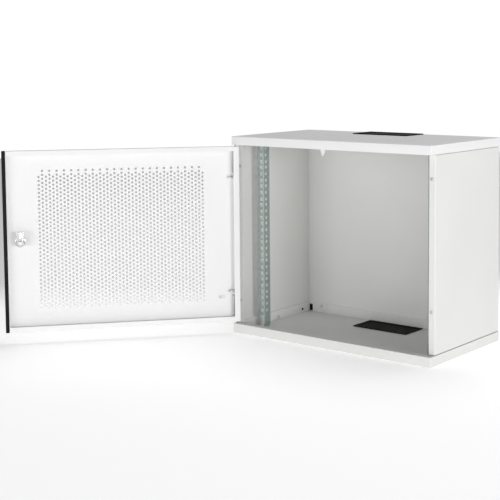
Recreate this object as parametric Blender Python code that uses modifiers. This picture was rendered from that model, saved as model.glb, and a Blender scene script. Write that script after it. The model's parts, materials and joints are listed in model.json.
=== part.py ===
"""Wall or desk cabinet for 19-inch network equipment, nine rack units high, its door standing open.

Frame: the origin is the centre of the underside, +X is the cabinet's right, +Y its back and +Z up, in metres.
The door's parts are written where they lie with the door shut, and hang from an empty on the hinge axis.
The field of small holes through the door's sheet is left out of its solid.
"""

import math

import bmesh
import bpy
from mathutils import Matrix, Vector

# Outer size and sheet metal.
WIDTH = 0.540
DEPTH = 0.300
HEIGHT = 0.465
SHEET = 0.0012
GAP = 0.0003
BEND = 0.0018
FRONT = -DEPTH / 2
BACK = DEPTH / 2
SIDE = WIDTH / 2

# How far a cutter reaches past the sheet it cuts: through thin sheet, and out of an open side.
THROUGH = 0.0030
CLEAR = 0.0100

# Roof and floor pans: a lip all round, and a hem folded inwards along the front.
ROOF_LIP = 0.020
FLOOR_LIP = 0.022
HEM = 0.0193
PIN_HOLE_RADIUS = 0.0030
NOTCH = 0.0080
NOTCH_DEPTH = 0.0040
NOTCH_PAST_FLANGE = 0.0030
ROOF_UNDER = HEIGHT - SHEET
STOP_TAB_X = -0.0190
STOP_TAB_WIDTH = 0.0160
STOP_TAB_LENGTH = 0.0153
STOP_TAB_TIP = 0.0040

# Fan vents in the roof: rings of round holes.
VENT_X = 0.112
VENT_Y = -0.042
VENT_RING_STEP = 0.013
VENT_RINGS = 3
VENT_HOLE_RADIUS = 0.0030
VENT_HOLE_SIDES = 8

# Side and back panels: the skin between the lips, and a strip stepped inwards behind each lip.
SKIN_INSET = 0.0010
STEP_IN = 0.0040
PANEL_BOTTOM = FLOOR_LIP + 0.0012
PANEL_TOP = HEIGHT - ROOF_LIP - 0.0012
SKIN_X = SIDE - SKIN_INSET
STRIP_X = SKIN_X - STEP_IN
FLANGE_Y = FRONT + 0.0198
FLANGE_WIDTH = 0.0153
BACK_FLANGE_WIDTH = 0.0160
SKIN_BACK_Y = BACK - SKIN_INSET
REAR_PANEL_Y = SKIN_BACK_Y - SHEET - GAP
REAR_PANEL_HALF = 0.2640
REAR_STRIP_HALF = 0.2535
STRIP_BACK_Y = 0.1465
STRIP_HOLE_RADIUS = 0.0025
PLUG_Y = (0.1424, 0.1449)
PLUG_Z = (0.0034, 0.0188)
BUTTON_RADIUS = 0.0030
BUTTON_HEAD = 0.0008

# Rack rails, to the 19-inch pattern.
RACK_UNIT = 0.04445
UNITS = 9
UNIT_HOLES = (0.00635, 0.022225, 0.0381)
UNIT_BASE = 0.0402
RAIL_HOLE_X = 0.4651 / 2
RAIL_CLEAR_X = 0.450 / 2
RAIL_SQUARE = 0.0095
RAIL_ROUND_RADIUS = 0.0042
RAIL_ROUND_SIDES = 8
RAIL_SHEET = 0.0015
RAIL_FACE_Y = FRONT + 0.0620
RAIL_FACE_WIDTH = 0.0178
RAIL_DEPTH = 0.0226
RAIL_SIDE_HOLE_Y = RAIL_FACE_Y + 0.0105
RAIL_FACE_Z = (0.0340, 0.4465)
RAIL_SIDE_Z = (0.0080, 0.4570)
BRACKET_SHEET = 0.0015
BRACKET_HEIGHT = 0.0290
BRACKET_FOOT = 0.0150
BRACKET_DEPTH = 0.0180
BRACKET_BEHIND_RAIL = 0.0020

# Cable entries, one in the roof and one in the floor.
ENTRY_LENGTH = 0.150
ENTRY_DEPTH = 0.075
ENTRY_Y = 0.1020
ENTRY_BORDER = 0.0090
ENTRY_RIM = 0.0020
ENTRY_COVER = 0.0012
ENTRY_LEDGE = 0.0008
ENTRY_LEDGE_WIDTH = 0.0040
ENTRY_SKIRT_WALL = 0.0015
ENTRY_CUT_ROOM = 0.0005
SMALL_BEVEL = 0.0006

# Screws.
SCREW_HEAD_RADIUS = 0.0036
SCREW_HEAD = 0.0012
SCREW_SHANK_RADIUS = 0.0019
SCREW_SHANK = 0.0030
SCREW_HOLE_RADIUS = 0.0023
FLANGE_SCREWS = {
    "flange_screw_right_upper": (0.2600, 0.3935),
    "flange_screw_right_lower": (0.2600, 0.1140),
    "flange_screw_left_upper": (-0.2610, 0.3940),
    "flange_screw_left_lower": (-0.2620, 0.0750),
}
STRIP_SCREW_Y = 0.0140
STRIP_SCREW_Z = 0.0090
STRIP_HOLE_Y = 0.1120
STRIP_HOLE_Z = 0.0110
REAR_SCREW_X = 0.2250
REAR_SCREW_Z = 0.0180
RAIL_SCREW_Y = RAIL_FACE_Y + 0.0120
RAIL_SCREW_Z = 0.0210

# Door, with the door shut.
HINGE_X = -0.2624
HINGE_Y = FRONT + 0.0055
OPEN_ANGLE = math.radians(130.3)
DOOR_LEFT = -0.2696
DOOR_RIGHT = 0.2617
DOOR_BOTTOM = 0.0278
DOOR_TOP = 0.4418
DOOR_DEPTH = 0.0155
DOOR_RIM_Y = FRONT + DOOR_DEPTH
DOOR_LIP_TOP = 0.0113
DOOR_LIP_BOTTOM = 0.0122
DOOR_LIP_HINGE = 0.0140
TRIM_WIDTH = 0.0080
TRIM_ROUND = 0.0020
DOOR_ROUND = 0.0012

# Spring-loaded hinge pins.
PIN_RADIUS = 0.0025
PIN_OUT = 0.0110
PIN_HANDLE_BELOW = 0.0105
PIN_HANDLE_REACH = 0.0200
PIN_BEND = 0.0040
HOLDER_LENGTH = 0.0495
HOLDER_FROM_EDGE = 0.0123
HOLDER_INNER_X = -0.2525
HOLDER_OUTER_X = DOOR_LEFT + SHEET + GAP
HOLDER_Y = (FRONT + SHEET + GAP, FRONT + 0.0135)
COLLAR_RADIUS = 0.0040
COLLAR = 0.0015
HOLDER_EAR = 0.0015
HOLDER_ROUND = 0.0005
SPRING_RADIUS = 0.0035
SPRING_WIRE_RADIUS = 0.00035
SPRING_TURNS = 8
SPRING_STEPS = 12
SPRING_LENGTH = 0.0285

# Cam lock.
LOCK_X = 0.2330
LOCK_Z = 0.2340
LOCK_FACE_RADIUS = 0.0110
LOCK_FACE = 0.0024
BARREL_RADIUS = 0.0092
BARREL_END_Y = FRONT + 0.0224
CORE_RADIUS = 0.0062
CORE_PROUD = 0.0004
CORE_THREAD_RADIUS = 0.0022
CORE_THREAD_DEPTH = 0.0060
KEYWAY = (0.0012, 0.0070)
KEYWAY_DEPTH = 0.0044
NUT_ACROSS = 0.0220
NUT_THICK = 0.0040
CAM_WIDTH = 0.0148
CAM_REACH = 0.0260
CAM_THICK = 0.0018
CAM_CORNER = 0.0010
CAM_HOLE_RADIUS = 0.0025
CAM_SCREW_RADIUS = 0.0045
CAM_SCREW_HEAD = 0.0020
CAM_SCREW_SHANK_RADIUS = 0.0018
CAM_SCREW_SHANK = 0.0060
NUT_BEVEL = 0.0004

# Earth tab on the door.
EARTH_X = -0.2270
EARTH_Z = 0.0860
EARTH_BASE = (0.0140, 0.0008, 0.0070)
EARTH_BLADE = (0.0008, 0.0080, 0.0064)
EARTH_BLADE_SHIFT = 0.0014

ROUND_SIDES = 20
SMALL_SIDES = 12

MATERIALS = {
    "white_paint": ((0.69, 0.69, 0.675), 0.45, 0.0),
    "zinc": ((0.55, 0.60, 0.60), 0.38, 0.9),
    "chrome": ((0.72, 0.72, 0.73), 0.20, 1.0),
    "spring_steel": ((0.40, 0.40, 0.43), 0.35, 1.0),
    "black_plastic": ((0.012, 0.012, 0.013), 0.50, 0.0),
}

# Stands a flat outline up, so that its Y runs along Z.
UPRIGHT = Matrix.Rotation(math.pi / 2, 4, "X")


def clear_scene():
    for old in list(bpy.data.objects):
        bpy.data.objects.remove(old, do_unlink=True)


def new_collection(name):
    collection = bpy.data.collections.new(name)
    bpy.context.scene.collection.children.link(collection)
    return collection


def material(name):
    if name in bpy.data.materials:
        return bpy.data.materials[name]
    color, roughness, metallic = MATERIALS[name]
    made = bpy.data.materials.new(name)
    made.use_nodes = True
    shader = made.node_tree.nodes["Principled BSDF"]
    shader.inputs["Base Color"].default_value = (*color, 1.0)
    shader.inputs["Roughness"].default_value = roughness
    shader.inputs["Metallic"].default_value = metallic
    made.diffuse_color = (*color, 1.0)
    return made


def add_object(name, data, finish=None, origin=(0.0, 0.0, 0.0)):
    """Links new geometry into the cabinet, or as a hidden cutter when it has no finish."""
    made = bpy.data.objects.new(name, data)
    made.location = origin
    if finish:
        own = material(finish).copy()
        own.name = f"{name}_{finish}"
        data.materials.append(own)
        PARTS.objects.link(made)
    else:
        made.hide_render = True
        made.display_type = "WIRE"
        CUTTERS.objects.link(made)
    return made


def mesh_object(name, shape, finish=None, origin=(0.0, 0.0, 0.0)):
    bmesh.ops.recalc_face_normals(shape, faces=shape.faces)
    data = bpy.data.meshes.new(name)
    shape.to_mesh(data)
    shape.free()
    return add_object(name, data, finish, origin)


def add_box(shape, low, high):
    """Adds a box between two corners, and returns its vertices."""
    low, high = Vector(low), Vector(high)
    place = Matrix.Translation((low + high) / 2) @ Matrix.Diagonal((*(high - low), 1.0))
    return bmesh.ops.create_cube(shape, size=1.0, matrix=place)["verts"]


def add_rod(shape, radius, start, end, sides=SMALL_SIDES):
    """Adds a closed cylinder from start to end."""
    start, end = Vector(start), Vector(end)
    turn = Vector((0, 0, 1)).rotation_difference(end - start).to_matrix().to_4x4()
    place = Matrix.Translation((start + end) / 2) @ turn
    bmesh.ops.create_cone(
        shape, cap_ends=True, segments=sides, radius1=radius, radius2=radius,
        depth=(end - start).length, matrix=place,
    )


def box(name, low, high, finish=None):
    middle = (Vector(low) + Vector(high)) / 2
    shape = bmesh.new()
    add_box(shape, Vector(low) - middle, Vector(high) - middle)
    return mesh_object(name, shape, finish, middle)


def rod(name, radius, start, end, finish=None, sides=ROUND_SIDES):
    middle = (Vector(start) + Vector(end)) / 2
    shape = bmesh.new()
    add_rod(shape, radius, Vector(start) - middle, Vector(end) - middle, sides)
    made = mesh_object(name, shape, finish, middle)
    smooth(made)
    return made


def boxes(name, corners):
    """One cutter of several separate boxes."""
    shape = bmesh.new()
    for low, high in corners:
        add_box(shape, low, high)
    return mesh_object(name, shape)


def rods(name, radius, ends, sides=SMALL_SIDES):
    """One cutter of several separate cylinders."""
    shape = bmesh.new()
    for start, end in ends:
        add_rod(shape, radius, start, end, sides)
    return mesh_object(name, shape)


def smooth(part):
    part.data.shade_smooth()
    part.data.set_sharp_from_angle(angle=math.radians(35))


def boolean(part, other, operation="DIFFERENCE"):
    step = part.modifiers.new(other.name, "BOOLEAN")
    step.operation = operation
    step.solver = "EXACT"
    step.object = other


def bevel(part, width, segments=2):
    step = part.modifiers.new("rounded edges", "BEVEL")
    step.width = width
    step.segments = segments
    step.limit_method = "ANGLE"
    step.angle_limit = math.radians(40)


def round_verticals(part, width, segments=3):
    """Rounds the edges that run along Z, and leaves the others sharp."""
    shape = bmesh.new()
    shape.from_mesh(part.data)
    upright = [edge for edge in shape.edges if abs(edge.verts[0].co.z - edge.verts[1].co.z) > width]
    bmesh.ops.bevel(shape, geom=upright, offset=width, segments=segments, profile=0.5, affect="EDGES")
    shape.to_mesh(part.data)
    shape.free()


def outline(name, points, thickness, finish, place):
    """A flat outline in its own XY plane, given thickness on both sides of it, as a mesh."""
    curve = bpy.data.curves.new(name, "CURVE")
    curve.dimensions = "2D"
    curve.fill_mode = "BOTH"
    curve.extrude = thickness / 2
    spline = curve.splines.new("POLY")
    spline.points.add(len(points) - 1)
    for point, (x, y) in zip(spline.points, points):
        point.co = (x, y, 0.0, 1.0)
    spline.use_cyclic_u = True
    return curve_to_mesh(name, curve, finish, place)


def curve_to_mesh(name, curve, finish, place):
    """Turns a curve with filled caps into one closed mesh object."""
    guide = bpy.data.objects.new(f"{name}_guide", curve)
    CUTTERS.objects.link(guide)
    guide.matrix_world = place
    bpy.context.view_layer.update()
    graph = bpy.context.evaluated_depsgraph_get()
    data = bpy.data.meshes.new_from_object(guide.evaluated_get(graph))
    data.name = name
    bpy.data.objects.remove(guide, do_unlink=True)
    shape = bmesh.new()
    shape.from_mesh(data)
    bmesh.ops.remove_doubles(shape, verts=shape.verts, dist=1e-6)
    bmesh.ops.recalc_face_normals(shape, faces=shape.faces)
    shape.to_mesh(data)
    shape.free()
    data.materials.clear()
    made = add_object(name, data, finish)
    made.matrix_world = place
    return made


def arc(centre, radius, start, end, steps):
    """Points on a round stretch, with its angles in degrees."""
    turns = [math.radians(start + (end - start) * i / steps) for i in range(steps + 1)]
    return [(centre[0] + radius * math.cos(a), centre[1] + radius * math.sin(a)) for a in turns]


def screw(name, seat, direction):
    """A pan-head screw whose head sits GAP above the seat, with its shank through the sheet."""
    seat, direction = Vector(seat), Vector(direction)
    under, top = seat + direction * GAP, seat + direction * (GAP + SCREW_HEAD)
    head = rod(name, SCREW_HEAD_RADIUS, under, top, "zinc")
    shank = boolean_rod(
        f"{name}_shank", SCREW_SHANK_RADIUS, seat - direction * SCREW_SHANK, (under + top) / 2
    )
    boolean(head, shank, "UNION")


def boolean_rod(name, radius, start, end, sides=SMALL_SIDES):
    shape = bmesh.new()
    add_rod(shape, radius, start, end, sides)
    return mesh_object(name, shape)


def hole_through(part, name, radius, at, direction, reach=THROUGH):
    at, direction = Vector(at), Vector(direction)
    boolean(part, boolean_rod(name, radius, at - direction * reach, at + direction * reach))


def vent_holes():
    """Centres of a round vent's holes: one in the middle, and rings of 6, 12 and 18."""
    places = [(0.0, 0.0)]
    for ring in range(1, VENT_RINGS + 1):
        radius = ring * VENT_RING_STEP
        count = 6 * ring
        places += arc((0.0, 0.0), radius, 0.0, 360.0 * (count - 1) / count, count - 1)
    return places


def entry_opening(z):
    """The cut-out for a cable entry in a pan's sheet at height z."""
    room = ENTRY_SKIRT_WALL + ENTRY_CUT_ROOM - ENTRY_BORDER
    half = (ENTRY_LENGTH / 2 + room, ENTRY_DEPTH / 2 + room)
    return (-half[0], ENTRY_Y - half[1], z - THROUGH), (half[0], ENTRY_Y + half[1], z + THROUGH)


def pan(name, bottom, top, opens_up):
    """A shallow pan with a lip all round, open upwards or downwards, and a hem along its front lip."""
    body = box(name, (-SIDE, FRONT, bottom), (SIDE, BACK, top), "white_paint")
    round_verticals(body, BEND)
    inner_x, inner_back = SIDE - SHEET, BACK - SHEET
    low_z, high_z = bottom + SHEET, top - SHEET
    mouth_z = (high_z - SHEET, top + CLEAR) if opens_up else (bottom - CLEAR, low_z + SHEET)
    hollow = box(f"{name}_room", (-inner_x, FRONT + SHEET, low_z), (inner_x, inner_back, high_z))
    boolean(hollow, box(
        f"{name}_mouth", (-inner_x, FRONT + HEM, mouth_z[0]), (inner_x, inner_back, mouth_z[1])
    ), "UNION")
    boolean(body, hollow)
    hem_z = top if opens_up else bottom
    notches = []
    for side in (-1, 1):
        middle = side * (SKIN_X - FLANGE_WIDTH - NOTCH_PAST_FLANGE + NOTCH / 2)
        notches.append((
            (middle - NOTCH / 2, FRONT + HEM - NOTCH_DEPTH, hem_z - THROUGH),
            (middle + NOTCH / 2, FRONT + HEM + THROUGH, hem_z + THROUGH),
        ))
    boolean(body, boxes(f"{name}_notches", notches))
    hole_through(body, f"{name}_pin_hole", PIN_HOLE_RADIUS, (HINGE_X, HINGE_Y, hem_z), (0, 0, 1))
    return body


def make_roof():
    roof = pan("top_cover", HEIGHT - ROOF_LIP, HEIGHT, opens_up=False)
    boolean(roof, box("roof_entry_cut", *entry_opening(HEIGHT)))
    ends = []
    for side in (-1, 1):
        for x, y in vent_holes():
            at = (side * VENT_X + x, VENT_Y + y)
            ends.append(((*at, HEIGHT - THROUGH), (*at, HEIGHT + THROUGH)))
    boolean(roof, rods("roof_vent_cut", VENT_HOLE_RADIUS, ends, sides=VENT_HOLE_SIDES))
    smooth(roof)


def make_stop_tab():
    """The V-shaped tab that hangs from the roof's hem, against which the door's top lip closes."""
    tip = STOP_TAB_TIP / 2
    half = STOP_TAB_WIDTH / 2
    points = [(-half, 0.0), (-tip, -STOP_TAB_LENGTH), (tip, -STOP_TAB_LENGTH), (half, 0.0)]
    top = HEIGHT - ROOF_LIP - GAP
    middle = Matrix.Translation((STOP_TAB_X, FRONT + HEM - SHEET / 2, top))
    outline("door_stop_tab", points, SHEET, "white_paint", middle @ UPRIGHT)


def make_floor():
    tray = pan("base_tray", 0.0, FLOOR_LIP, opens_up=True)
    boolean(tray, box("floor_entry_cut", *entry_opening(0.0)))
    smooth(tray)


def make_side_panel(name, side):
    """Skin with a flange at the front and the back, and a stepped strip inside the roof and floor lips."""
    low, high = PANEL_BOTTOM, PANEL_TOP
    skin = box(name, (SKIN_X - SHEET, FLANGE_Y, low), (SKIN_X, SKIN_BACK_Y, high), "white_paint")
    pieces = {
        "front": ((SKIN_X - FLANGE_WIDTH, FLANGE_Y, low), (SKIN_X, FLANGE_Y + SHEET, high)),
        "back": ((SKIN_X - BACK_FLANGE_WIDTH, SKIN_BACK_Y - SHEET, low), (SKIN_X, SKIN_BACK_Y, high)),
    }
    for end, edge, beyond in (("bottom", low, SHEET + GAP), ("top", high, ROOF_UNDER - GAP)):
        inward = edge + (SHEET if edge == low else -SHEET)
        ledge = sorted((edge, inward))
        strip = sorted((inward, beyond))
        pieces[f"{end}_ledge"] = (
            (STRIP_X - SHEET, FLANGE_Y, ledge[0]), (SKIN_X - SHEET / 2, STRIP_BACK_Y - SHEET, ledge[1])
        )
        pieces[f"{end}_strip"] = (
            (STRIP_X - SHEET, FLANGE_Y, strip[0]), (STRIP_X, STRIP_BACK_Y - SHEET, strip[1])
        )
    for key, corners in pieces.items():
        boolean(skin, box(f"{name}_{key}", *corners), "UNION")
    for key, radius, y, z in (
        ("button", STRIP_HOLE_RADIUS, STRIP_HOLE_Y, STRIP_HOLE_Z),
        ("screw", SCREW_HOLE_RADIUS, STRIP_SCREW_Y, STRIP_SCREW_Z),
    ):
        hole_through(skin, f"{name}_{key}_hole", radius, (STRIP_X, y, z), (1, 0, 0))
    for key, (x, z) in FLANGE_SCREWS.items():
        if x * side > 0:
            hole_through(skin, f"{key}_hole", SCREW_HOLE_RADIUS, (abs(x), FLANGE_Y, z), (0, 1, 0))
    finish_side(skin, side)


def finish_side(panel, side):
    """Fixes the panel's shape, rounds its outer front bend, and turns it over for the left side."""
    shape = evaluated_shape(panel)
    front = FLANGE_Y - panel.location.y
    outside = SKIN_X - panel.location.x
    corner = [
        edge for edge in shape.edges
        if all(abs(v.co.y - front) < 1e-5 and v.co.x > outside - 1e-5 for v in edge.verts)
    ]
    bmesh.ops.bevel(shape, geom=corner, offset=BEND, segments=3, profile=0.5, affect="EDGES")
    if side < 0:
        for vert in shape.verts:
            vert.co.x = -vert.co.x
        bmesh.ops.reverse_faces(shape, faces=shape.faces)
        panel.location.x = -panel.location.x
    apply_shape(panel, shape)
    smooth(panel)


def evaluated_shape(part):
    """The shape of a part with its modifiers carried out, in its own space."""
    bpy.context.view_layer.update()
    graph = bpy.context.evaluated_depsgraph_get()
    data = bpy.data.meshes.new_from_object(part.evaluated_get(graph))
    shape = bmesh.new()
    shape.from_mesh(data)
    bpy.data.meshes.remove(data)
    return shape


def apply_shape(part, shape):
    part.modifiers.clear()
    shape.to_mesh(part.data)
    shape.free()


def make_rear_panel():
    low, high = PANEL_BOTTOM, PANEL_TOP
    skin = box(
        "rear_panel", (-REAR_PANEL_HALF, REAR_PANEL_Y - SHEET, low),
        (REAR_PANEL_HALF, REAR_PANEL_Y, high), "white_paint",
    )
    strip_y = REAR_PANEL_Y - STEP_IN
    for end, edge, beyond in (("bottom", low, SHEET + GAP), ("top", high, ROOF_UNDER - GAP)):
        inward = edge + (SHEET if edge == low else -SHEET)
        ledge = sorted((edge, inward))
        strip = sorted((inward, beyond))
        boolean(skin, box(
            f"rear_{end}_ledge", (-REAR_STRIP_HALF, strip_y - SHEET, ledge[0]),
            (REAR_STRIP_HALF, REAR_PANEL_Y - SHEET / 2, ledge[1]),
        ), "UNION")
        boolean(skin, box(
            f"rear_{end}_strip", (-REAR_STRIP_HALF, strip_y - SHEET, strip[0]),
            (REAR_STRIP_HALF, strip_y, strip[1]),
        ), "UNION")
    for side in (-1, 1):
        at = (side * REAR_SCREW_X, strip_y, REAR_SCREW_Z)
        hole_through(skin, f"rear_screw_hole_{side}", SCREW_HOLE_RADIUS, at, (0, 1, 0))


def make_rail(name, side):
    """An L-section rail: square holes in its face, round holes in its side."""
    face = box(
        name,
        (RAIL_CLEAR_X, RAIL_FACE_Y, RAIL_FACE_Z[0]),
        (RAIL_CLEAR_X + RAIL_FACE_WIDTH, RAIL_FACE_Y + RAIL_SHEET, RAIL_FACE_Z[1]),
        "zinc",
    )
    web = box(
        f"{name}_web",
        (RAIL_CLEAR_X, RAIL_FACE_Y, RAIL_SIDE_Z[0]),
        (RAIL_CLEAR_X + RAIL_SHEET, RAIL_FACE_Y + RAIL_DEPTH, RAIL_SIDE_Z[1]),
    )
    boolean(face, web, "UNION")
    heights = [UNIT_BASE + unit * RACK_UNIT + hole for unit in range(UNITS) for hole in UNIT_HOLES]
    half = RAIL_SQUARE / 2
    through_y = (RAIL_FACE_Y - THROUGH, RAIL_FACE_Y + THROUGH)
    boolean(face, boxes(f"{name}_square_cut", [
        ((RAIL_HOLE_X - half, through_y[0], z - half), (RAIL_HOLE_X + half, through_y[1], z + half))
        for z in heights
    ]))
    through_x = (RAIL_CLEAR_X - THROUGH, RAIL_CLEAR_X + THROUGH)
    boolean(face, rods(f"{name}_round_cut", RAIL_ROUND_RADIUS, [
        ((through_x[0], RAIL_SIDE_HOLE_Y, z), (through_x[1], RAIL_SIDE_HOLE_Y, z)) for z in heights
    ], sides=RAIL_ROUND_SIDES))
    screw_heights = (RAIL_SCREW_Z, HEIGHT - RAIL_SCREW_Z)
    boolean(face, rods(f"{name}_screw_cut", SCREW_HOLE_RADIUS, [
        ((through_x[0], RAIL_SCREW_Y, z), (through_x[1], RAIL_SCREW_Y, z)) for z in screw_heights
    ]))
    turn_over(face, side)


def turn_over(part, side):
    """Carries out the modifiers, and reflects the part to the left side when side is -1."""
    shape = evaluated_shape(part)
    if side < 0:
        for vert in shape.verts:
            vert.co.x = -vert.co.x
        bmesh.ops.reverse_faces(shape, faces=shape.faces)
        part.location.x = -part.location.x
    apply_shape(part, shape)


def make_brackets():
    """Four angles that hold the rails: a foot on the floor or under the roof, and a leg beside the rail."""
    leg_x = RAIL_CLEAR_X + RAIL_SHEET + GAP
    low_y = RAIL_FACE_Y + RAIL_SHEET + BRACKET_BEHIND_RAIL
    for end, seat, grow in (("lower", SHEET + GAP, 1), ("upper", ROOF_UNDER - GAP, -1)):
        leg_z = sorted((seat, seat + grow * BRACKET_HEIGHT))
        foot_z = sorted((seat, seat + grow * BRACKET_SHEET))
        hole_z = RAIL_SCREW_Z if grow > 0 else HEIGHT - RAIL_SCREW_Z
        for word, side in (("left", -1), ("right", 1)):
            name = f"rail_bracket_{end}_{word}"
            leg = box(name, (leg_x, low_y, leg_z[0]),
                      (leg_x + BRACKET_SHEET, low_y + BRACKET_DEPTH, leg_z[1]), "zinc")
            foot = box(f"{name}_foot", (leg_x, low_y, foot_z[0]),
                       (leg_x + BRACKET_FOOT, low_y + BRACKET_DEPTH, foot_z[1]))
            boolean(leg, foot, "UNION")
            hole_through(leg, f"{name}_hole", SCREW_HOLE_RADIUS, (leg_x, RAIL_SCREW_Y, hole_z), (1, 0, 0))
            turn_over(leg, side)
            screw(f"rail_screw_{end}_{word}", (side * RAIL_CLEAR_X, RAIL_SCREW_Y, hole_z), (-side, 0, 0))


def make_body_screws():
    for name, (x, z) in FLANGE_SCREWS.items():
        screw(name, (x, FLANGE_Y, z), (0, -1, 0))
    for word, side in (("left", -1), ("right", 1)):
        screw(f"tray_screw_{word}", (side * (STRIP_X - SHEET), STRIP_SCREW_Y, STRIP_SCREW_Z), (-side, 0, 0))
        seat_y = REAR_PANEL_Y - STEP_IN - SHEET
        screw(f"rear_screw_{word}", (side * REAR_SCREW_X, seat_y, REAR_SCREW_Z), (0, -1, 0))


def make_black_plugs():
    """Black plugs at the floor: one that closes each back corner, and a button in each side strip's hole."""
    low_x, high_x = REAR_STRIP_HALF + GAP, STRIP_X - SHEET - GAP
    for word, side in (("left", -1), ("right", 1)):
        xs = sorted((side * low_x, side * high_x))
        plug = box(
            f"corner_plug_{word}", (xs[0], PLUG_Y[0], PLUG_Z[0]), (xs[1], PLUG_Y[1], PLUG_Z[1]),
            "black_plastic",
        )
        bevel(plug, SMALL_BEVEL)
        under_x = STRIP_X - SHEET - GAP
        top_x = under_x - BUTTON_HEAD
        button = rod(
            f"strip_button_{word}", BUTTON_RADIUS, (side * top_x, STRIP_HOLE_Y, STRIP_HOLE_Z),
            (side * under_x, STRIP_HOLE_Y, STRIP_HOLE_Z), "black_plastic",
        )
        boolean(button, boolean_rod(
            f"strip_button_{word}_stem", STRIP_HOLE_RADIUS - GAP,
            (side * (top_x + under_x) / 2, STRIP_HOLE_Y, STRIP_HOLE_Z),
            (side * (STRIP_X + GAP), STRIP_HOLE_Y, STRIP_HOLE_Z),
        ), "UNION")


def make_entry(prefix, sheet_z, outward):
    """A cable entry: a rim on the pan's sheet with a skirt through it, and a cover plate inside the rim.

    The rim lies on the side of the sheet that outward points to, as a sign along Z.
    """
    long, deep = ENTRY_LENGTH / 2, ENTRY_DEPTH / 2
    rim_z = sorted((sheet_z + outward * GAP, sheet_z + outward * (GAP + ENTRY_RIM)))
    rim = box(
        f"{prefix}_entry_frame", (-long, ENTRY_Y - deep, rim_z[0]), (long, ENTRY_Y + deep, rim_z[1]),
        "black_plastic",
    )
    bevel(rim, SMALL_BEVEL)
    skirt_half = (long - ENTRY_BORDER + ENTRY_SKIRT_WALL, deep - ENTRY_BORDER + ENTRY_SKIRT_WALL)
    skirt_z = sorted((sheet_z - outward * (SHEET - GAP / 2), sheet_z + outward * (GAP + ENTRY_RIM / 2)))
    boolean(rim, box(
        f"{prefix}_entry_skirt", (-skirt_half[0], ENTRY_Y - skirt_half[1], skirt_z[0]),
        (skirt_half[0], ENTRY_Y + skirt_half[1], skirt_z[1]),
    ), "UNION")
    mouth = (long - ENTRY_BORDER, deep - ENTRY_BORDER)
    floor_z = skirt_z[0] + ENTRY_LEDGE if outward > 0 else skirt_z[1] - ENTRY_LEDGE
    seat_z = sorted((floor_z, sheet_z + outward * CLEAR))
    boolean(rim, box(
        f"{prefix}_entry_seat", (-mouth[0], ENTRY_Y - mouth[1], seat_z[0]),
        (mouth[0], ENTRY_Y + mouth[1], seat_z[1]),
    ))
    through = (mouth[0] - ENTRY_LEDGE_WIDTH, mouth[1] - ENTRY_LEDGE_WIDTH)
    boolean(rim, box(
        f"{prefix}_entry_through", (-through[0], ENTRY_Y - through[1], sheet_z - CLEAR),
        (through[0], ENTRY_Y + through[1], sheet_z + CLEAR),
    ))
    cover_z = sorted((floor_z + outward * GAP, floor_z + outward * (GAP + ENTRY_COVER)))
    cover = box(
        f"{prefix}_entry_cover", (-mouth[0] + GAP, ENTRY_Y - mouth[1] + GAP, cover_z[0]),
        (mouth[0] - GAP, ENTRY_Y + mouth[1] - GAP, cover_z[1]), "black_plastic",
    )
    bevel(cover, SMALL_BEVEL / 2, 1)


def hang(part, parent, pivot):
    """Hangs a part, written where it lies with the door shut, from an empty at pivot."""
    part.parent = parent
    part.location = part.location - Vector(pivot)


def hang_with_cutters(part, parent, pivot):
    hang(part, parent, pivot)
    for step in part.modifiers:
        if step.type == "BOOLEAN":
            hang_with_cutters(step.object, parent, pivot)


def make_door(hinge, pivot):
    panel = box(
        "door_panel", (DOOR_LEFT, FRONT, DOOR_BOTTOM), (DOOR_RIGHT, DOOR_RIM_Y, DOOR_TOP), "white_paint"
    )
    bevel(panel, DOOR_ROUND)
    boolean(panel, box(
        "door_room",
        (DOOR_LEFT + SHEET, FRONT + SHEET, DOOR_BOTTOM + SHEET),
        (DOOR_RIGHT - SHEET, DOOR_RIM_Y - SHEET, DOOR_TOP - SHEET),
    ))
    boolean(panel, box(
        "door_mouth",
        (DOOR_LEFT + DOOR_LIP_HINGE, DOOR_RIM_Y - 2 * SHEET, DOOR_BOTTOM + DOOR_LIP_BOTTOM),
        (DOOR_RIGHT - SHEET, DOOR_RIM_Y + CLEAR, DOOR_TOP - DOOR_LIP_TOP),
    ))
    hole_through(panel, "door_lock_hole", BARREL_RADIUS + GAP, (LOCK_X, FRONT, LOCK_Z), (0, 1, 0))
    for end, z in (("lower", DOOR_BOTTOM), ("upper", DOOR_TOP)):
        hole_through(panel, f"door_{end}_pin_hole", PIN_HOLE_RADIUS, (HINGE_X, HINGE_Y, z), (0, 0, 1))
    smooth(panel)
    hang_with_cutters(panel, hinge, pivot)

    trim = box(
        "door_edge_trim", (DOOR_RIGHT + GAP, FRONT, DOOR_BOTTOM),
        (DOOR_RIGHT + GAP + TRIM_WIDTH, DOOR_RIM_Y, DOOR_TOP), "black_plastic",
    )
    round_verticals(trim, TRIM_ROUND)
    smooth(trim)
    hang(trim, hinge, pivot)

    foot_y = FRONT + SHEET + GAP
    foot_x, foot_thick, foot_z = EARTH_BASE
    blade_thick, blade_y, blade_z = EARTH_BLADE
    blade_x = EARTH_X + EARTH_BLADE_SHIFT
    tab = box(
        "door_earth_tab", (EARTH_X - foot_x / 2, foot_y, EARTH_Z - foot_z / 2),
        (EARTH_X + foot_x / 2, foot_y + foot_thick, EARTH_Z + foot_z / 2), "zinc",
    )
    boolean(tab, box(
        "earth_blade", (blade_x - blade_thick / 2, foot_y, EARTH_Z - blade_z / 2),
        (blade_x + blade_thick / 2, foot_y + blade_y, EARTH_Z + blade_z / 2),
    ), "UNION")
    hang_with_cutters(tab, hinge, pivot)


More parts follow.
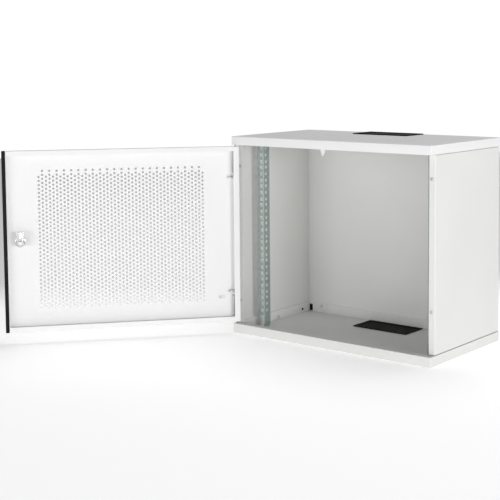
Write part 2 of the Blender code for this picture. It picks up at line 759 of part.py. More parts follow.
def make_pin(prefix, edge, outward, hinge, pivot):
    """A spring-loaded hinge pin with its holder and spring; outward is the sign along Z of its tip."""
    near = edge - outward * HOLDER_FROM_EDGE
    far = near - outward * HOLDER_LENGTH
    holder_z = sorted((near, far))
    holder = box(
        f"{prefix}_pin_holder", (HOLDER_OUTER_X, HOLDER_Y[0], holder_z[0]),
        (HOLDER_INNER_X, HOLDER_Y[1], holder_z[1]), "zinc",
    )
    bevel(holder, HOLDER_ROUND, 1)
    boolean(holder, box(
        f"{prefix}_holder_room", (HOLDER_OUTER_X - CLEAR, HOLDER_Y[0] - CLEAR, holder_z[0] + HOLDER_EAR),
        (HOLDER_INNER_X - SHEET, HOLDER_Y[1] + CLEAR, holder_z[1] - HOLDER_EAR),
    ))
    hole_through(
        holder, f"{prefix}_holder_hole", PIN_RADIUS + GAP, (HINGE_X, HINGE_Y, (near + far) / 2), (0, 0, 1),
        reach=HOLDER_LENGTH,
    )
    hang_with_cutters(holder, hinge, pivot)

    tip = edge + outward * PIN_OUT
    handle = far - outward * PIN_HANDLE_BELOW
    length = abs(tip - handle)
    turn = arc((PIN_BEND, PIN_BEND), PIN_BEND, 270.0, 180.0, 6)
    route = [(PIN_HANDLE_REACH, 0.0)] + turn + [(0.0, length)]
    curve = bpy.data.curves.new(f"{prefix}_pin", "CURVE")
    curve.dimensions = "3D"
    curve.bevel_depth = PIN_RADIUS
    curve.bevel_resolution = 2
    curve.use_fill_caps = True
    spline = curve.splines.new("POLY")
    spline.points.add(len(route) - 1)
    for point, (x, along) in zip(spline.points, route):
        point.co = (x, 0.0, outward * along, 1.0)
    place = Matrix.Translation((HINGE_X, HINGE_Y, handle))
    pin = curve_to_mesh(f"{prefix}_hinge_pin", curve, "zinc", place)
    smooth(pin)
    spring_end = far + outward * (HOLDER_EAR + GAP)
    collar_at = spring_end + outward * (SPRING_LENGTH + 2 * GAP)
    boolean(pin, boolean_rod(
        f"{prefix}_collar", COLLAR_RADIUS, (HINGE_X, HINGE_Y, collar_at),
        (HINGE_X, HINGE_Y, collar_at + outward * COLLAR), sides=ROUND_SIDES,
    ), "UNION")
    hang_with_cutters(pin, hinge, pivot)

    spring_base = spring_end + outward * SPRING_WIRE_RADIUS
    wind = bpy.data.curves.new(f"{prefix}_spring", "CURVE")
    wind.dimensions = "3D"
    wind.bevel_depth = SPRING_WIRE_RADIUS
    wind.bevel_resolution = 1
    wind.use_fill_caps = True
    steps = SPRING_STEPS * SPRING_TURNS
    coil = wind.splines.new("POLY")
    coil.points.add(steps)
    rise = SPRING_LENGTH - 2 * SPRING_WIRE_RADIUS
    for i, point in enumerate(coil.points):
        angle = 2 * math.pi * i / SPRING_STEPS
        point.co = (
            SPRING_RADIUS * math.cos(angle), SPRING_RADIUS * math.sin(angle), outward * rise * i / steps, 1.0,
        )
    spring = curve_to_mesh(
        f"{prefix}_pin_spring", wind, "spring_steel", Matrix.Translation((HINGE_X, HINGE_Y, spring_base))
    )
    smooth(spring)
    hang(spring, hinge, pivot)


def ring(name, outer, inner, start_y, end_y, finish, sides=ROUND_SIDES):
    """A ring round the lock's axis, between two depths."""
    body = rod(name, outer, (LOCK_X, start_y, LOCK_Z), (LOCK_X, end_y, LOCK_Z), finish, sides)
    boolean(body, lock_rod(f"{name}_bore", inner, start_y - CLEAR, end_y + CLEAR))
    return body


def lock_rod(name, radius, start_y, end_y):
    """A plain cylinder on the lock's axis, to cut with or to join on."""
    return boolean_rod(name, radius, (LOCK_X, start_y, LOCK_Z), (LOCK_X, end_y, LOCK_Z), sides=ROUND_SIDES)


def make_lock(hinge, pivot):
    """The lock's housing and nut stay on the door; its core, cam and cam screw turn together."""
    turning = bpy.data.objects.new("lock_axis", None)
    turning.empty_display_size = 0.02
    PARTS.objects.link(turning)
    turning.location = (LOCK_X, FRONT, LOCK_Z)
    hang(turning, hinge, pivot)
    axis = (LOCK_X, FRONT, LOCK_Z)

    bore = CORE_RADIUS + GAP
    face_y = FRONT - GAP - LOCK_FACE
    housing = ring("lock_housing", BARREL_RADIUS, bore, face_y, BARREL_END_Y, "chrome")
    boolean(housing, ring("lock_face", LOCK_FACE_RADIUS, bore, face_y, FRONT - GAP, None), "UNION")
    hang_with_cutters(housing, hinge, pivot)

    nut_y = FRONT + SHEET + GAP
    corner_radius = NUT_ACROSS / math.sqrt(3)
    nut = ring("lock_nut", corner_radius, BARREL_RADIUS + GAP, nut_y, nut_y + NUT_THICK, "chrome", sides=6)
    nut.data.shade_flat()
    bevel(nut, NUT_BEVEL, 1)
    nut.modifiers.move(1, 0)
    hang_with_cutters(nut, hinge, pivot)

    core_y = FRONT - LOCK_FACE
    core_end = BARREL_END_Y + CORE_PROUD
    core = rod("lock_core", CORE_RADIUS, (LOCK_X, core_y, LOCK_Z), (LOCK_X, core_end, LOCK_Z), "chrome")
    wide, tall = KEYWAY
    boolean(core, box(
        "keyway", (LOCK_X - wide / 2, core_y - CLEAR, LOCK_Z - tall / 2),
        (LOCK_X + wide / 2, core_y + KEYWAY_DEPTH, LOCK_Z + tall / 2),
    ))
    boolean(core, lock_rod("core_bore", CORE_THREAD_RADIUS, core_end - CORE_THREAD_DEPTH, core_end + CLEAR))
    hang_with_cutters(core, turning, axis)

    half = CAM_WIDTH / 2
    cut = half - CAM_CORNER
    shape = arc((0.0, 0.0), half, 180.0, 360.0, 12)
    shape += [(half, CAM_REACH - CAM_CORNER), (cut, CAM_REACH)]
    shape += [(-cut, CAM_REACH), (-half, CAM_REACH - CAM_CORNER)]
    cam_y = core_end + GAP
    middle = Matrix.Translation((LOCK_X, cam_y + CAM_THICK / 2, LOCK_Z))
    cam = outline("lock_cam", shape, CAM_THICK, "chrome", middle @ UPRIGHT)
    bpy.context.view_layer.update()
    boolean(cam, lock_rod("cam_bore", CAM_HOLE_RADIUS, cam_y - CLEAR, cam_y + CLEAR))
    hang_with_cutters(cam, turning, axis)

    head_y = cam_y + CAM_THICK + GAP
    head_end = head_y + CAM_SCREW_HEAD
    cam_screw = rod(
        "cam_screw", CAM_SCREW_RADIUS, (LOCK_X, head_y, LOCK_Z), (LOCK_X, head_end, LOCK_Z), "zinc"
    )
    shank_end = head_y - CAM_SCREW_SHANK
    shank = lock_rod("cam_screw_shank", CAM_SCREW_SHANK_RADIUS, shank_end, head_y + CAM_SCREW_HEAD / 2)
    boolean(cam_screw, shank, "UNION")
    hang_with_cutters(cam_screw, turning, axis)


def make_cabinet():
    make_roof()
    make_stop_tab()
    make_floor()
    for word, side in (("left", -1), ("right", 1)):
        make_side_panel(f"{word}_side_panel", side)
        make_rail(f"{word}_rail", side)
    make_rear_panel()
    make_brackets()
    make_body_screws()
    make_black_plugs()
    make_entry("floor", SHEET, 1)
    make_entry("roof", HEIGHT, 1)


def make_hung_door():
    pivot = (HINGE_X, HINGE_Y, 0.0)
    hinge = bpy.data.objects.new("door_hinge_axis", None)
    hinge.empty_display_size = 0.05
    PARTS.objects.link(hinge)
    hinge.location = pivot
    make_door(hinge, pivot)
    make_pin("upper", DOOR_TOP, 1, hinge, pivot)
    make_pin("lower", DOOR_BOTTOM, -1, hinge, pivot)
    make_lock(hinge, pivot)
    hinge.rotation_euler = (0.0, 0.0, -OPEN_ANGLE)


clear_scene()
PARTS = new_collection("network_cabinet")
CUTTERS = new_collection("cutters")
make_cabinet()
make_hung_door()
bpy.context.view_layer.update()
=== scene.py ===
"""Looks for the network cabinet: finer meshes, materials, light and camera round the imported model.

Everything is in metres, in the model's own frame: the origin is the centre of the underside, +X is the
cabinet's right, +Y its back and +Z up. The door's pieces are built where they lie with the door shut, and
then turned to the open rest position about the door's hinge.
"""

import json
import math

import bmesh
import bpy
from mathutils import Matrix, Vector


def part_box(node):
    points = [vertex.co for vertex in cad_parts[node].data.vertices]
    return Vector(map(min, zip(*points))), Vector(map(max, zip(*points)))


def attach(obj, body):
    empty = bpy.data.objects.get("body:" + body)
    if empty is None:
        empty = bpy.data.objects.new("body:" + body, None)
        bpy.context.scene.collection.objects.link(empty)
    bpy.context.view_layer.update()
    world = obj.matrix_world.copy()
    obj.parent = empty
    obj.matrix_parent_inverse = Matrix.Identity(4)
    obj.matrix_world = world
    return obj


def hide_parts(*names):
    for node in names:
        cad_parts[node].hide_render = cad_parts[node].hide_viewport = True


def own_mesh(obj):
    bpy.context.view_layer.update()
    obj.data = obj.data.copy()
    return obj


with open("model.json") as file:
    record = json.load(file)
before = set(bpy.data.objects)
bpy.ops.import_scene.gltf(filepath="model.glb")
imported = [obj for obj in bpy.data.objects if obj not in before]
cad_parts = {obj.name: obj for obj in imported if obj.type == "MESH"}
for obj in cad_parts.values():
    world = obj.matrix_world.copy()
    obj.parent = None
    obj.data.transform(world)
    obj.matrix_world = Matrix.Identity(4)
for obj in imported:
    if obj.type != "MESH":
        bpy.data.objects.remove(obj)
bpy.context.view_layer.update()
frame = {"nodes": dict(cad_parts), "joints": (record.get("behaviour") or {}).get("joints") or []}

NODES = frame["nodes"]
JOINTS = {joint["name"]: joint for joint in frame["joints"]}

# The closed body, from the frame.
ROOF_LOW, ROOF_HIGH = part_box("top_cover")
TRAY_LOW, TRAY_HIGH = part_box("base_tray")
SIDE = ROOF_HIGH.x
FRONT = ROOF_LOW.y
BACK = ROOF_HIGH.y
HEIGHT = ROOF_HIGH.z
ROOF_EDGE = ROOF_LOW.z
TRAY_EDGE = TRAY_HIGH.z
SHEET = 0.0012
GAP = 0.0003
PANEL_BEND = 0.0020
SHEET_EDGE = 0.00022
SHEET_EDGE_ANGLE = 55
HEM = 0.0193
SKIN_INSET = 0.0010

# The door, shut.
PIVOT = Vector(JOINTS["door_hinge"]["pos_m"])
OPEN_ANGLE = math.radians(JOINTS["door_hinge"]["range_deg"][1])
DOOR_REST = (
    Matrix.Translation((PIVOT.x, PIVOT.y, 0.0))
    @ Matrix.Rotation(-OPEN_ANGLE, 4, "Z")
    @ Matrix.Translation((-PIVOT.x, -PIVOT.y, 0.0))
)
DOOR_BOTTOM, DOOR_TOP = (corner.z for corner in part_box("door_panel"))
DOOR_LEFT = -0.2696
DOOR_RIGHT = 0.2617
DOOR_DEPTH = 0.0155
DOOR_RIM_Y = FRONT + DOOR_DEPTH
DOOR_LIP_TOP = 0.0113
DOOR_LIP_BOTTOM = 0.0122
DOOR_LIP_HINGE = 0.0140
LOCK_X = 0.2330
LOCK_Z = JOINTS["lock_turn"]["pos_m"][2]
LOCK_HOLE_RADIUS = 0.0095

# Perforation of the door: columns of holes, every second one half a pitch up and one hole longer.
HOLE_RADIUS = 0.0027
HOLE_SIDES = 18
COLUMN_STEP = 0.00813
ROW_STEP = 0.00908
COLUMNS = 47
FIRST_COLUMN_X = -0.1847
FIRST_HOLE_Z = 0.0811
LONG_FIRST_HOLE_Z = 0.0856
SHORT_ROWS = 34
LONG_ROWS = 35


# ---------------------------------------------------------------- materials


def node_material(name):
    made = bpy.data.materials.new(name)
    made.use_nodes = True
    tree = made.node_tree
    return made, tree, tree.nodes["Principled BSDF"]


def noise(tree, scale, detail=2.0, roughness=0.5, stretch=(1.0, 1.0, 1.0)):
    """A noise texture in object space, where one unit is a metre."""
    place = tree.nodes.new("ShaderNodeTexCoord")
    mapping = tree.nodes.new("ShaderNodeMapping")
    mapping.inputs["Scale"].default_value = stretch
    texture = tree.nodes.new("ShaderNodeTexNoise")
    texture.inputs["Scale"].default_value = scale
    texture.inputs["Detail"].default_value = detail
    texture.inputs["Roughness"].default_value = roughness
    tree.links.new(place.outputs["Object"], mapping.inputs["Vector"])
    tree.links.new(mapping.outputs["Vector"], texture.inputs["Vector"])
    return texture.outputs["Fac"]


def spread(tree, source, low, high):
    """Maps a noise value to a range."""
    node = tree.nodes.new("ShaderNodeMapRange")
    node.inputs["From Min"].default_value = 0.3
    node.inputs["From Max"].default_value = 0.7
    node.inputs["To Min"].default_value = low
    node.inputs["To Max"].default_value = high
    tree.links.new(source, node.inputs["Value"])
    return node.outputs["Result"]


def ramp(tree, source, stops):
    """A colour ramp; stops are (position, colour)."""
    node = tree.nodes.new("ShaderNodeValToRGB")
    elements = node.color_ramp.elements
    while len(elements) < len(stops):
        elements.new(0.5)
    for element, (position, color) in zip(elements, stops):
        element.position = position
        element.color = (*color, 1.0)
    tree.links.new(source, node.inputs["Fac"])
    return node.outputs["Color"]


def bump(tree, shader, heights):
    """Chains bumps, given as (source, distance in metres, strength), into the shader's normal."""
    previous = None
    for source, distance, strength in heights:
        node = tree.nodes.new("ShaderNodeBump")
        node.inputs["Distance"].default_value = distance
        node.inputs["Strength"].default_value = strength
        tree.links.new(source, node.inputs["Height"])
        if previous:
            tree.links.new(previous, node.inputs["Normal"])
        previous = node.outputs["Normal"]
    tree.links.new(previous, shader.inputs["Normal"])


def powder_coat(name, color):
    """Baked powder paint: a fine grain over a shallow orange peel, semi-matt."""
    made, tree, shader = node_material(name)
    dark = tuple(0.975 * c for c in color)
    cloud = noise(tree, 6.0, 3.0)
    tree.links.new(ramp(tree, cloud, [(0.35, dark), (0.65, color)]), shader.inputs["Base Color"])
    grain = noise(tree, 1500.0, 2.0)
    peel = noise(tree, 320.0, 1.0)
    tree.links.new(spread(tree, peel, 0.40, 0.50), shader.inputs["Roughness"])
    shader.inputs["Specular IOR Level"].default_value = 0.40
    bump(tree, shader, [(peel, 0.00006, 0.35), (grain, 0.00003, 0.40)])
    return made


def zinc_plate(name, light, dark, roughness=(0.30, 0.46), spangle=170.0):
    """Bright zinc plating: faint crystals in tone, drawn lines along Z, and blurred handling marks."""
    made, tree, shader = node_material(name)
    place = tree.nodes.new("ShaderNodeTexCoord")
    crystals = tree.nodes.new("ShaderNodeTexVoronoi")
    crystals.inputs["Scale"].default_value = spangle
    crystals.inputs["Randomness"].default_value = 1.0
    tree.links.new(place.outputs["Object"], crystals.inputs["Vector"])
    separate = tree.nodes.new("ShaderNodeSeparateColor")
    tree.links.new(crystals.outputs["Color"], separate.inputs["Color"])
    tree.links.new(
        ramp(tree, separate.outputs["Red"], [(0.0, dark), (1.0, light)]), shader.inputs["Base Color"]
    )
    drawn = noise(tree, 900.0, 2.0, stretch=(1.0, 1.0, 0.03))
    marks = noise(tree, 40.0, 3.0)
    tree.links.new(spread(tree, marks, *roughness), shader.inputs["Roughness"])
    shader.inputs["Metallic"].default_value = 0.65
    bump(tree, shader, [(drawn, 0.00003, 0.35)])
    return made


def plating(name, color, roughness=(0.10, 0.20), grain=600.0):
    """Bright plating on a small turned or stamped part."""
    made, tree, shader = node_material(name)
    cloud = noise(tree, 120.0, 2.0)
    dim = tuple(0.93 * c for c in color)
    tree.links.new(ramp(tree, cloud, [(0.35, dim), (0.65, color)]), shader.inputs["Base Color"])
    tree.links.new(spread(tree, noise(tree, 260.0, 3.0), *roughness), shader.inputs["Roughness"])
    shader.inputs["Metallic"].default_value = 1.0
    bump(tree, shader, [(noise(tree, grain, 2.0), 0.00002, 0.25)])
    return made


def moulded_plastic(name, color, roughness=(0.42, 0.55)):
    """Black moulded plastic with a fine spark-eroded grain."""
    made, tree, shader = node_material(name)
    lighter = tuple(1.5 * c for c in color)
    tree.links.new(
        ramp(tree, noise(tree, 30.0, 3.0), [(0.35, color), (0.65, lighter)]), shader.inputs["Base Color"]
    )
    grain = noise(tree, 2200.0, 2.0)
    tree.links.new(spread(tree, grain, *roughness), shader.inputs["Roughness"])
    shader.inputs["Specular IOR Level"].default_value = 0.14
    bump(tree, shader, [(grain, 0.00004, 0.45)])
    return made


PAINT = powder_coat("powder_coat_body", (0.735, 0.735, 0.719))
# The door has the body's powder coat; its darker colour here is painted shade, to keep the door from catching
# more light than the body.
DOOR_PAINT_PAINTED_SHADE = powder_coat("powder_coat_door", (0.445, 0.445, 0.436))
RAIL_ZINC = zinc_plate("zinc_rail", (0.40, 0.47, 0.455), (0.33, 0.395, 0.385), (0.52, 0.66), 420.0)
BRACKET_ZINC = zinc_plate("zinc_bracket", (0.62, 0.63, 0.68), (0.48, 0.49, 0.55), spangle=260.0)
FASTENER = plating("zinc_fastener", (0.60, 0.60, 0.60), (0.25, 0.38))
PIN_STEEL = plating("zinc_pin", (0.62, 0.62, 0.64), (0.20, 0.32))
SPRING_STEEL = plating("spring_wire", (0.42, 0.42, 0.45), (0.22, 0.34))
CHROME = plating("lock_chrome", (0.62, 0.62, 0.63), (0.14, 0.24))
# Black of the entry frames' plastic, and painted shade on the corner plugs and strip buttons.
ENTRY_BLACK_AND_PAINTED_SHADE = moulded_plastic("black_entry", (0.0030, 0.0030, 0.0032), (0.60, 0.72))
COVER_BLACK = moulded_plastic("black_cover", (0.0050, 0.0050, 0.0053), (0.62, 0.74))
TRIM_BLACK = moulded_plastic("black_trim", (0.006, 0.006, 0.007), (0.55, 0.65))


# ---------------------------------------------------------------- mesh helpers


def link(name, data):
    made = bpy.data.objects.new(name, data)
    bpy.context.scene.collection.objects.link(made)
    return made


def mesh_object(name, shape):
    bmesh.ops.recalc_face_normals(shape, faces=shape.faces)
    data = bpy.data.meshes.new(name)
    shape.to_mesh(data)
    shape.free()
    return link(name, data)


def add_box(shape, low, high):
    low, high = Vector(low), Vector(high)
    place = Matrix.Translation((low + high) / 2) @ Matrix.Diagonal((*(high - low), 1.0))
    return bmesh.ops.create_cube(shape, size=1.0, matrix=place)["verts"]


def add_rod(shape, radius, start, end, sides, end_radius=None):
    start, end = Vector(start), Vector(end)
    turn = Vector((0, 0, 1)).rotation_difference(end - start).to_matrix().to_4x4()
    place = Matrix.Translation((start + end) / 2) @ turn
    bmesh.ops.create_cone(
        shape, cap_ends=True, segments=sides, radius1=radius,
        radius2=radius if end_radius is None else end_radius, depth=(end - start).length, matrix=place,
    )


def box(name, low, high, bend=0.0, segments=4):
    """A box, with all its edges rounded where a bend is given."""
    shape = bmesh.new()
    add_box(shape, low, high)
    if bend:
        bmesh.ops.bevel(
            shape, geom=shape.edges[:], offset=bend, segments=segments, profile=0.5, affect="EDGES"
        )
    return mesh_object(name, shape)


def boxes(name, corners):
    shape = bmesh.new()
    for low, high in corners:
        add_box(shape, low, high)
    return mesh_object(name, shape)


def rods(name, radius, ends, sides=24):
    shape = bmesh.new()
    for start, end in ends:
        add_rod(shape, radius, start, end, sides)
    return mesh_object(name, shape)


def settle(part):
    """Carries out the part's modifiers."""
    bpy.context.view_layer.update()
    graph = bpy.context.evaluated_depsgraph_get()
    data = bpy.data.meshes.new_from_object(part.evaluated_get(graph))
    part.modifiers.clear()
    old = part.data
    part.data = data
    bpy.data.meshes.remove(old)


def combine(part, others, operation, solver="EXACT"):
    """Joins the others to the part or cuts them from it, and removes them."""
    for other in others:
        step = part.modifiers.new("combine", "BOOLEAN")
        step.operation = operation
        step.solver = solver
        step.object = other
    settle(part)
    for other in others:
        bpy.data.objects.remove(other, do_unlink=True)
    return part


def cut(part, *others, solver="EXACT"):
    return combine(part, others, "DIFFERENCE", solver)


def join(part, *others):
    return combine(part, others, "UNION")


def soften(part, width=SHEET_EDGE, segments=2, angle=50):
    """Breaks the sharp edges."""
    step = part.modifiers.new("soften", "BEVEL")
    step.width = width
    step.segments = segments
    step.limit_method = "ANGLE"
    step.angle_limit = math.radians(angle)
    settle(part)
    return part


def smooth(part, angle=32):
    part.data.shade_smooth()
    part.data.set_sharp_from_angle(angle=math.radians(angle))
    return part


def finish_piece(part, body, node, finish):
    """The part rides on its body, hides the CAD node it stands for and gets its material."""
    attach(part, body)
    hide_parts(node)
    part.data.materials.append(finish)


def paint_node(node, finish):
    """Gives a kept CAD node its material."""
    data = NODES[node].data
    data.materials.clear()
    data.materials.append(finish)
    smooth(NODES[node])


def ring_places(step, rings):
    """A round pattern of holes: one in the middle, and rings of 6, 12, 18 and so on."""
    places = [(0.0, 0.0)]
    for ring in range(1, rings + 1):
        count = 6 * ring
        for i in range(count):
            angle = 2 * math.pi * i / count
            places.append((ring * step * math.cos(angle), ring * step * math.sin(angle)))
    return places


def arc(centre, radius, start, end, steps):
    """Points on a round stretch, with its angles in degrees."""
    turns = [math.radians(start + (end - start) * i / steps) for i in range(steps + 1)]
    return [(centre[0] + radius * math.cos(a), centre[1] + radius * math.sin(a)) for a in turns]


def prism(name, points, low, high, place=None):
    """A closed outline in XY, drawn up from low to high along Z, and then placed."""
    shape = bmesh.new()
    face = shape.faces.new([shape.verts.new((x, y, low)) for x, y in points])
    top = bmesh.ops.extrude_face_region(shape, geom=[face])["geom"]
    bmesh.ops.translate(
        shape, vec=(0, 0, high - low), verts=[v for v in top if isinstance(v, bmesh.types.BMVert)]
    )
    if place is not None:
        bmesh.ops.transform(shape, matrix=place, verts=shape.verts)
    return mesh_object(name, shape)


def folded_strip(points, thickness, bend, steps=5):
    """The outline of a strip of sheet folded at each inner point of its outer line.

    The points run along one face, the sheet lies on the left of the way along them, and bend is the
    radius of a fold on its outer side.
    """
    outer, inner = [points[0]], []
    first = (Vector(points[1]) - Vector(points[0])).normalized()
    inner.append(tuple(Vector(points[0]) + thickness * Vector((-first.y, first.x))))
    for before, at, after in zip(points, points[1:], points[2:]):
        come = (Vector(at) - Vector(before)).normalized()
        go = (Vector(after) - Vector(at)).normalized()
        left = come.cross(go) > 0
        far, near = (bend, bend - thickness) if left else (bend - thickness, bend)
        middle = Vector(at) + (-come + go) * far
        start = math.degrees(math.atan2(-go.y, -go.x))
        end = math.degrees(math.atan2(come.y, come.x))
        sweep = (end - start + 180.0) % 360.0 - 180.0
        outer += arc(middle, far, start, start + sweep, steps)
        inner += arc(middle, near, start, start + sweep, steps)
    last = (Vector(points[-1]) - Vector(points[-2])).normalized()
    outer.append(points[-1])
    inner.append(tuple(Vector(points[-1]) + thickness * Vector((-last.y, last.x))))
    return outer + inner[::-1]


def reflect(part, side):
    """Reflects the part to the left side when side is -1."""
    if side < 0:
        shape = bmesh.new()
        shape.from_mesh(part.data)
        for vert in shape.verts:
            vert.co.x = -vert.co.x
        bmesh.ops.reverse_faces(shape, faces=shape.faces)
        shape.to_mesh(part.data)
        shape.free()
    return part


def open_door(*parts):
    """Turns parts made with the door shut to where the open door holds them."""
    for part in parts:
        part.data.transform(DOOR_REST)
    return parts[0]


def lathe(name, profile, base, direction, sides=48):
    """A turned part: profile is a closed line of (radius, height) along direction from base."""
    shape = bmesh.new()
    rings = []
    for radius, height in profile:
        if radius < 1e-6:
            rings.append([shape.verts.new((0, 0, height))])
            continue
        rings.append([
            shape.verts.new((radius * math.cos(a), radius * math.sin(a), height))
            for a in (2 * math.pi * i / sides for i in range(sides))
        ])
    pairs = list(zip(rings, rings[1:]))
    if len(rings[0]) > 1 and len(rings[-1]) > 1:
        pairs.append((rings[-1], rings[0]))
    for a, b in pairs:
        for i in range(sides):
            corners = []
            after = i + 1
            for vert in (a[i % len(a)], a[after % len(a)], b[after % len(b)], b[i % len(b)]):
                if vert not in corners:
                    corners.append(vert)
            shape.faces.new(corners)
    turn = Vector((0, 0, 1)).rotation_difference(Vector(direction)).to_matrix().to_4x4()
    bmesh.ops.transform(shape, matrix=Matrix.Translation(base) @ turn, verts=shape.verts)
    return mesh_object(name, shape)


# ---------------------------------------------------------------- roof and floor pans

ENTRY_LENGTH = 0.150
ENTRY_DEPTH = 0.075
ENTRY_BORDER = 0.0090
ENTRY_Y = sum(corner.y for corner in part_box("floor_entry_frame")) / 2
VENT_X = 0.112
VENT_Y = -0.042
VENT_STEP = 0.013
VENT_RINGS = 3
VENT_HOLE_RADIUS = 0.0030
ENTRY_PLAY = 0.0020
NOTCH = 0.0080
NOTCH_PAST_FLANGE = 0.0030
NOTCH_Y = (FRONT + HEM - 0.0040, FRONT + HEM + 0.0020)
FLANGE_WIDTH = 0.0153
PIN_HOLE_RADIUS = 0.0030


def pan(name, low_z, high_z, opens_up):
    """A shallow sheet pan with rounded bends, a lip all round, and a hem along its front lip."""
    closed_z = low_z if opens_up else high_z
    shape = bmesh.new()
    add_box(shape, (-SIDE, FRONT, low_z), (SIDE, BACK, high_z))
    closed = [e for e in shape.edges if any(abs(v.co.z - closed_z) < 1e-6 for v in e.verts)]
    bmesh.ops.bevel(shape, geom=closed, offset=PANEL_BEND, segments=5, profile=0.5, affect="EDGES")
    body = mesh_object(name, shape)
    inner_x, inner_back = SIDE - SHEET, BACK - SHEET
    floor_z, roof_z = low_z + SHEET, high_z - SHEET
    beyond = 0.010
    mouth_z = (roof_z - 0.001, high_z + beyond) if opens_up else (low_z - beyond, floor_z + 0.001)
    room = box(
        f"{name}_room", (-inner_x, FRONT + SHEET, floor_z), (inner_x, inner_back, roof_z),
        bend=PANEL_BEND - SHEET, segments=3,
    )
    mouth = box(f"{name}_mouth", (-inner_x, FRONT + HEM, mouth_z[0]), (inner_x, inner_back, mouth_z[1]))
    cut(body, room, mouth)
    hem_z = high_z if opens_up else low_z
    notches = []
    for side in (-1, 1):
        middle = side * (SIDE - SKIN_INSET - FLANGE_WIDTH + NOTCH / 2 - NOTCH_PAST_FLANGE)
        notches.append((
            (middle - NOTCH / 2, NOTCH_Y[0], hem_z - 0.003),
            (middle + NOTCH / 2, NOTCH_Y[1], hem_z + 0.003),
        ))
    pin = rods(f"{name}_pin", PIN_HOLE_RADIUS, [
        ((PIVOT.x, PIVOT.y, hem_z - 0.004), (PIVOT.x, PIVOT.y, hem_z + 0.004))
    ])
    half_x = ENTRY_LENGTH / 2 - ENTRY_BORDER + ENTRY_PLAY
    half_y = ENTRY_DEPTH / 2 - ENTRY_BORDER + ENTRY_PLAY
    entry = box(
        f"{name}_entry", (-half_x, ENTRY_Y - half_y, closed_z - 0.004),
        (half_x, ENTRY_Y + half_y, closed_z + 0.004),
    )
    cut(body, boxes(f"{name}_notches", notches), pin, entry)
    return soften(body, SHEET_EDGE, 1, SHEET_EDGE_ANGLE)


def make_roof():
    roof = pan("roof_shell", ROOF_LOW.z, ROOF_HIGH.z, opens_up=False)
    ends = []
    for side in (-1, 1):
        for x, y in ring_places(VENT_STEP, VENT_RINGS):
            at = (side * VENT_X + x, VENT_Y + y)
            ends.append(((*at, HEIGHT - 0.004), (*at, HEIGHT + 0.003)))
    cut(roof, rods("roof_vents", VENT_HOLE_RADIUS, ends, sides=20), solver="MANIFOLD")
    finish_piece(smooth(roof), "cabinet", "top_cover", PAINT)


def make_tray():
    tray = pan("floor_shell", TRAY_LOW.z, TRAY_HIGH.z, opens_up=True)
    finish_piece(smooth(tray), "cabinet", "base_tray", PAINT)


# ---------------------------------------------------------------- side and back panels

STEP_IN = 0.0040
SKIN_X = SIDE - SKIN_INSET
STRIP_X = SKIN_X - STEP_IN
FLANGE_Y = FRONT + 0.0198
BACK_FLANGE_WIDTH = 0.0160
SKIN_BACK_Y = BACK - SKIN_INSET
STRIP_BACK_Y = 0.1465
STRIP_HOLE = (0.1120, 0.0110)
STRIP_HOLE_RADIUS = 0.0025
STRIP_SCREW = (0.0140, 0.0090)
SCREW_HOLE_RADIUS = 0.0023
REAR_STRIP_HALF = 0.2535
PANEL_FOLD = 0.0022
SKIN_CLEARANCE = 0.0012
PANEL_LOW, PANEL_HIGH = (corner.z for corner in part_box("rear_panel"))
SKIN_LOW = TRAY_EDGE + SKIN_CLEARANCE
SKIN_HIGH = ROOF_EDGE - SKIN_CLEARANCE
# Each panel's lower and upper end: the skin's edge, the strip's end, and the way inward along Z.
PANEL_ENDS = ((SKIN_LOW, PANEL_LOW, 1), (SKIN_HIGH, PANEL_HIGH, -1))


def middle_of(node):
    low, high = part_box(node)
    return (low + high) / 2


def make_side_panel(node, side):
    """A folded skin with a flange at each end, and a stepped strip behind the floor's and the roof's lips."""
    line = [
        (SKIN_X - FLANGE_WIDTH, FLANGE_Y), (SKIN_X, FLANGE_Y), (SKIN_X, SKIN_BACK_Y),
        (SKIN_X - BACK_FLANGE_WIDTH, SKIN_BACK_Y),
    ]
    skin = prism(f"{node}_shell", folded_strip(line, SHEET, PANEL_FOLD), SKIN_LOW, SKIN_HIGH)
    parts = []
    for edge, end, inward in PANEL_ENDS:
        ledge = sorted((edge, edge + inward * SHEET))
        strip = sorted((edge + inward * SHEET / 2, end))
        parts.append(box(
            f"{node}_ledge", (STRIP_X - SHEET, FLANGE_Y, ledge[0]),
            (SKIN_X - SHEET / 2, STRIP_BACK_Y - SHEET, ledge[1]),
        ))
        parts.append(box(
            f"{node}_strip", (STRIP_X - SHEET, FLANGE_Y, strip[0]), (STRIP_X, STRIP_BACK_Y - SHEET, strip[1])
        ))
    join(skin, *parts)
    holes = [(STRIP_HOLE_RADIUS, STRIP_HOLE), (SCREW_HOLE_RADIUS, STRIP_SCREW)]
    cutters = [
        rods(f"{node}_hole", radius, [((STRIP_X - 0.004, y, z), (STRIP_X + 0.003, y, z))])
        for radius, (y, z) in holes
    ]
    word = "right" if side > 0 else "left"
    ends = []
    for end in ("upper", "lower"):
        at = middle_of(f"flange_screw_{word}_{end}")
        ends.append(((abs(at.x), FLANGE_Y - 0.003, at.z), (abs(at.x), FLANGE_Y + 0.003, at.z)))
    cutters.append(rods(f"{node}_screw_holes", SCREW_HOLE_RADIUS, ends))
    cut(skin, *cutters)
    soften(skin, SHEET_EDGE, 1, SHEET_EDGE_ANGLE)
    reflect(skin, side)
    finish_piece(smooth(skin), "cabinet", node, PAINT)


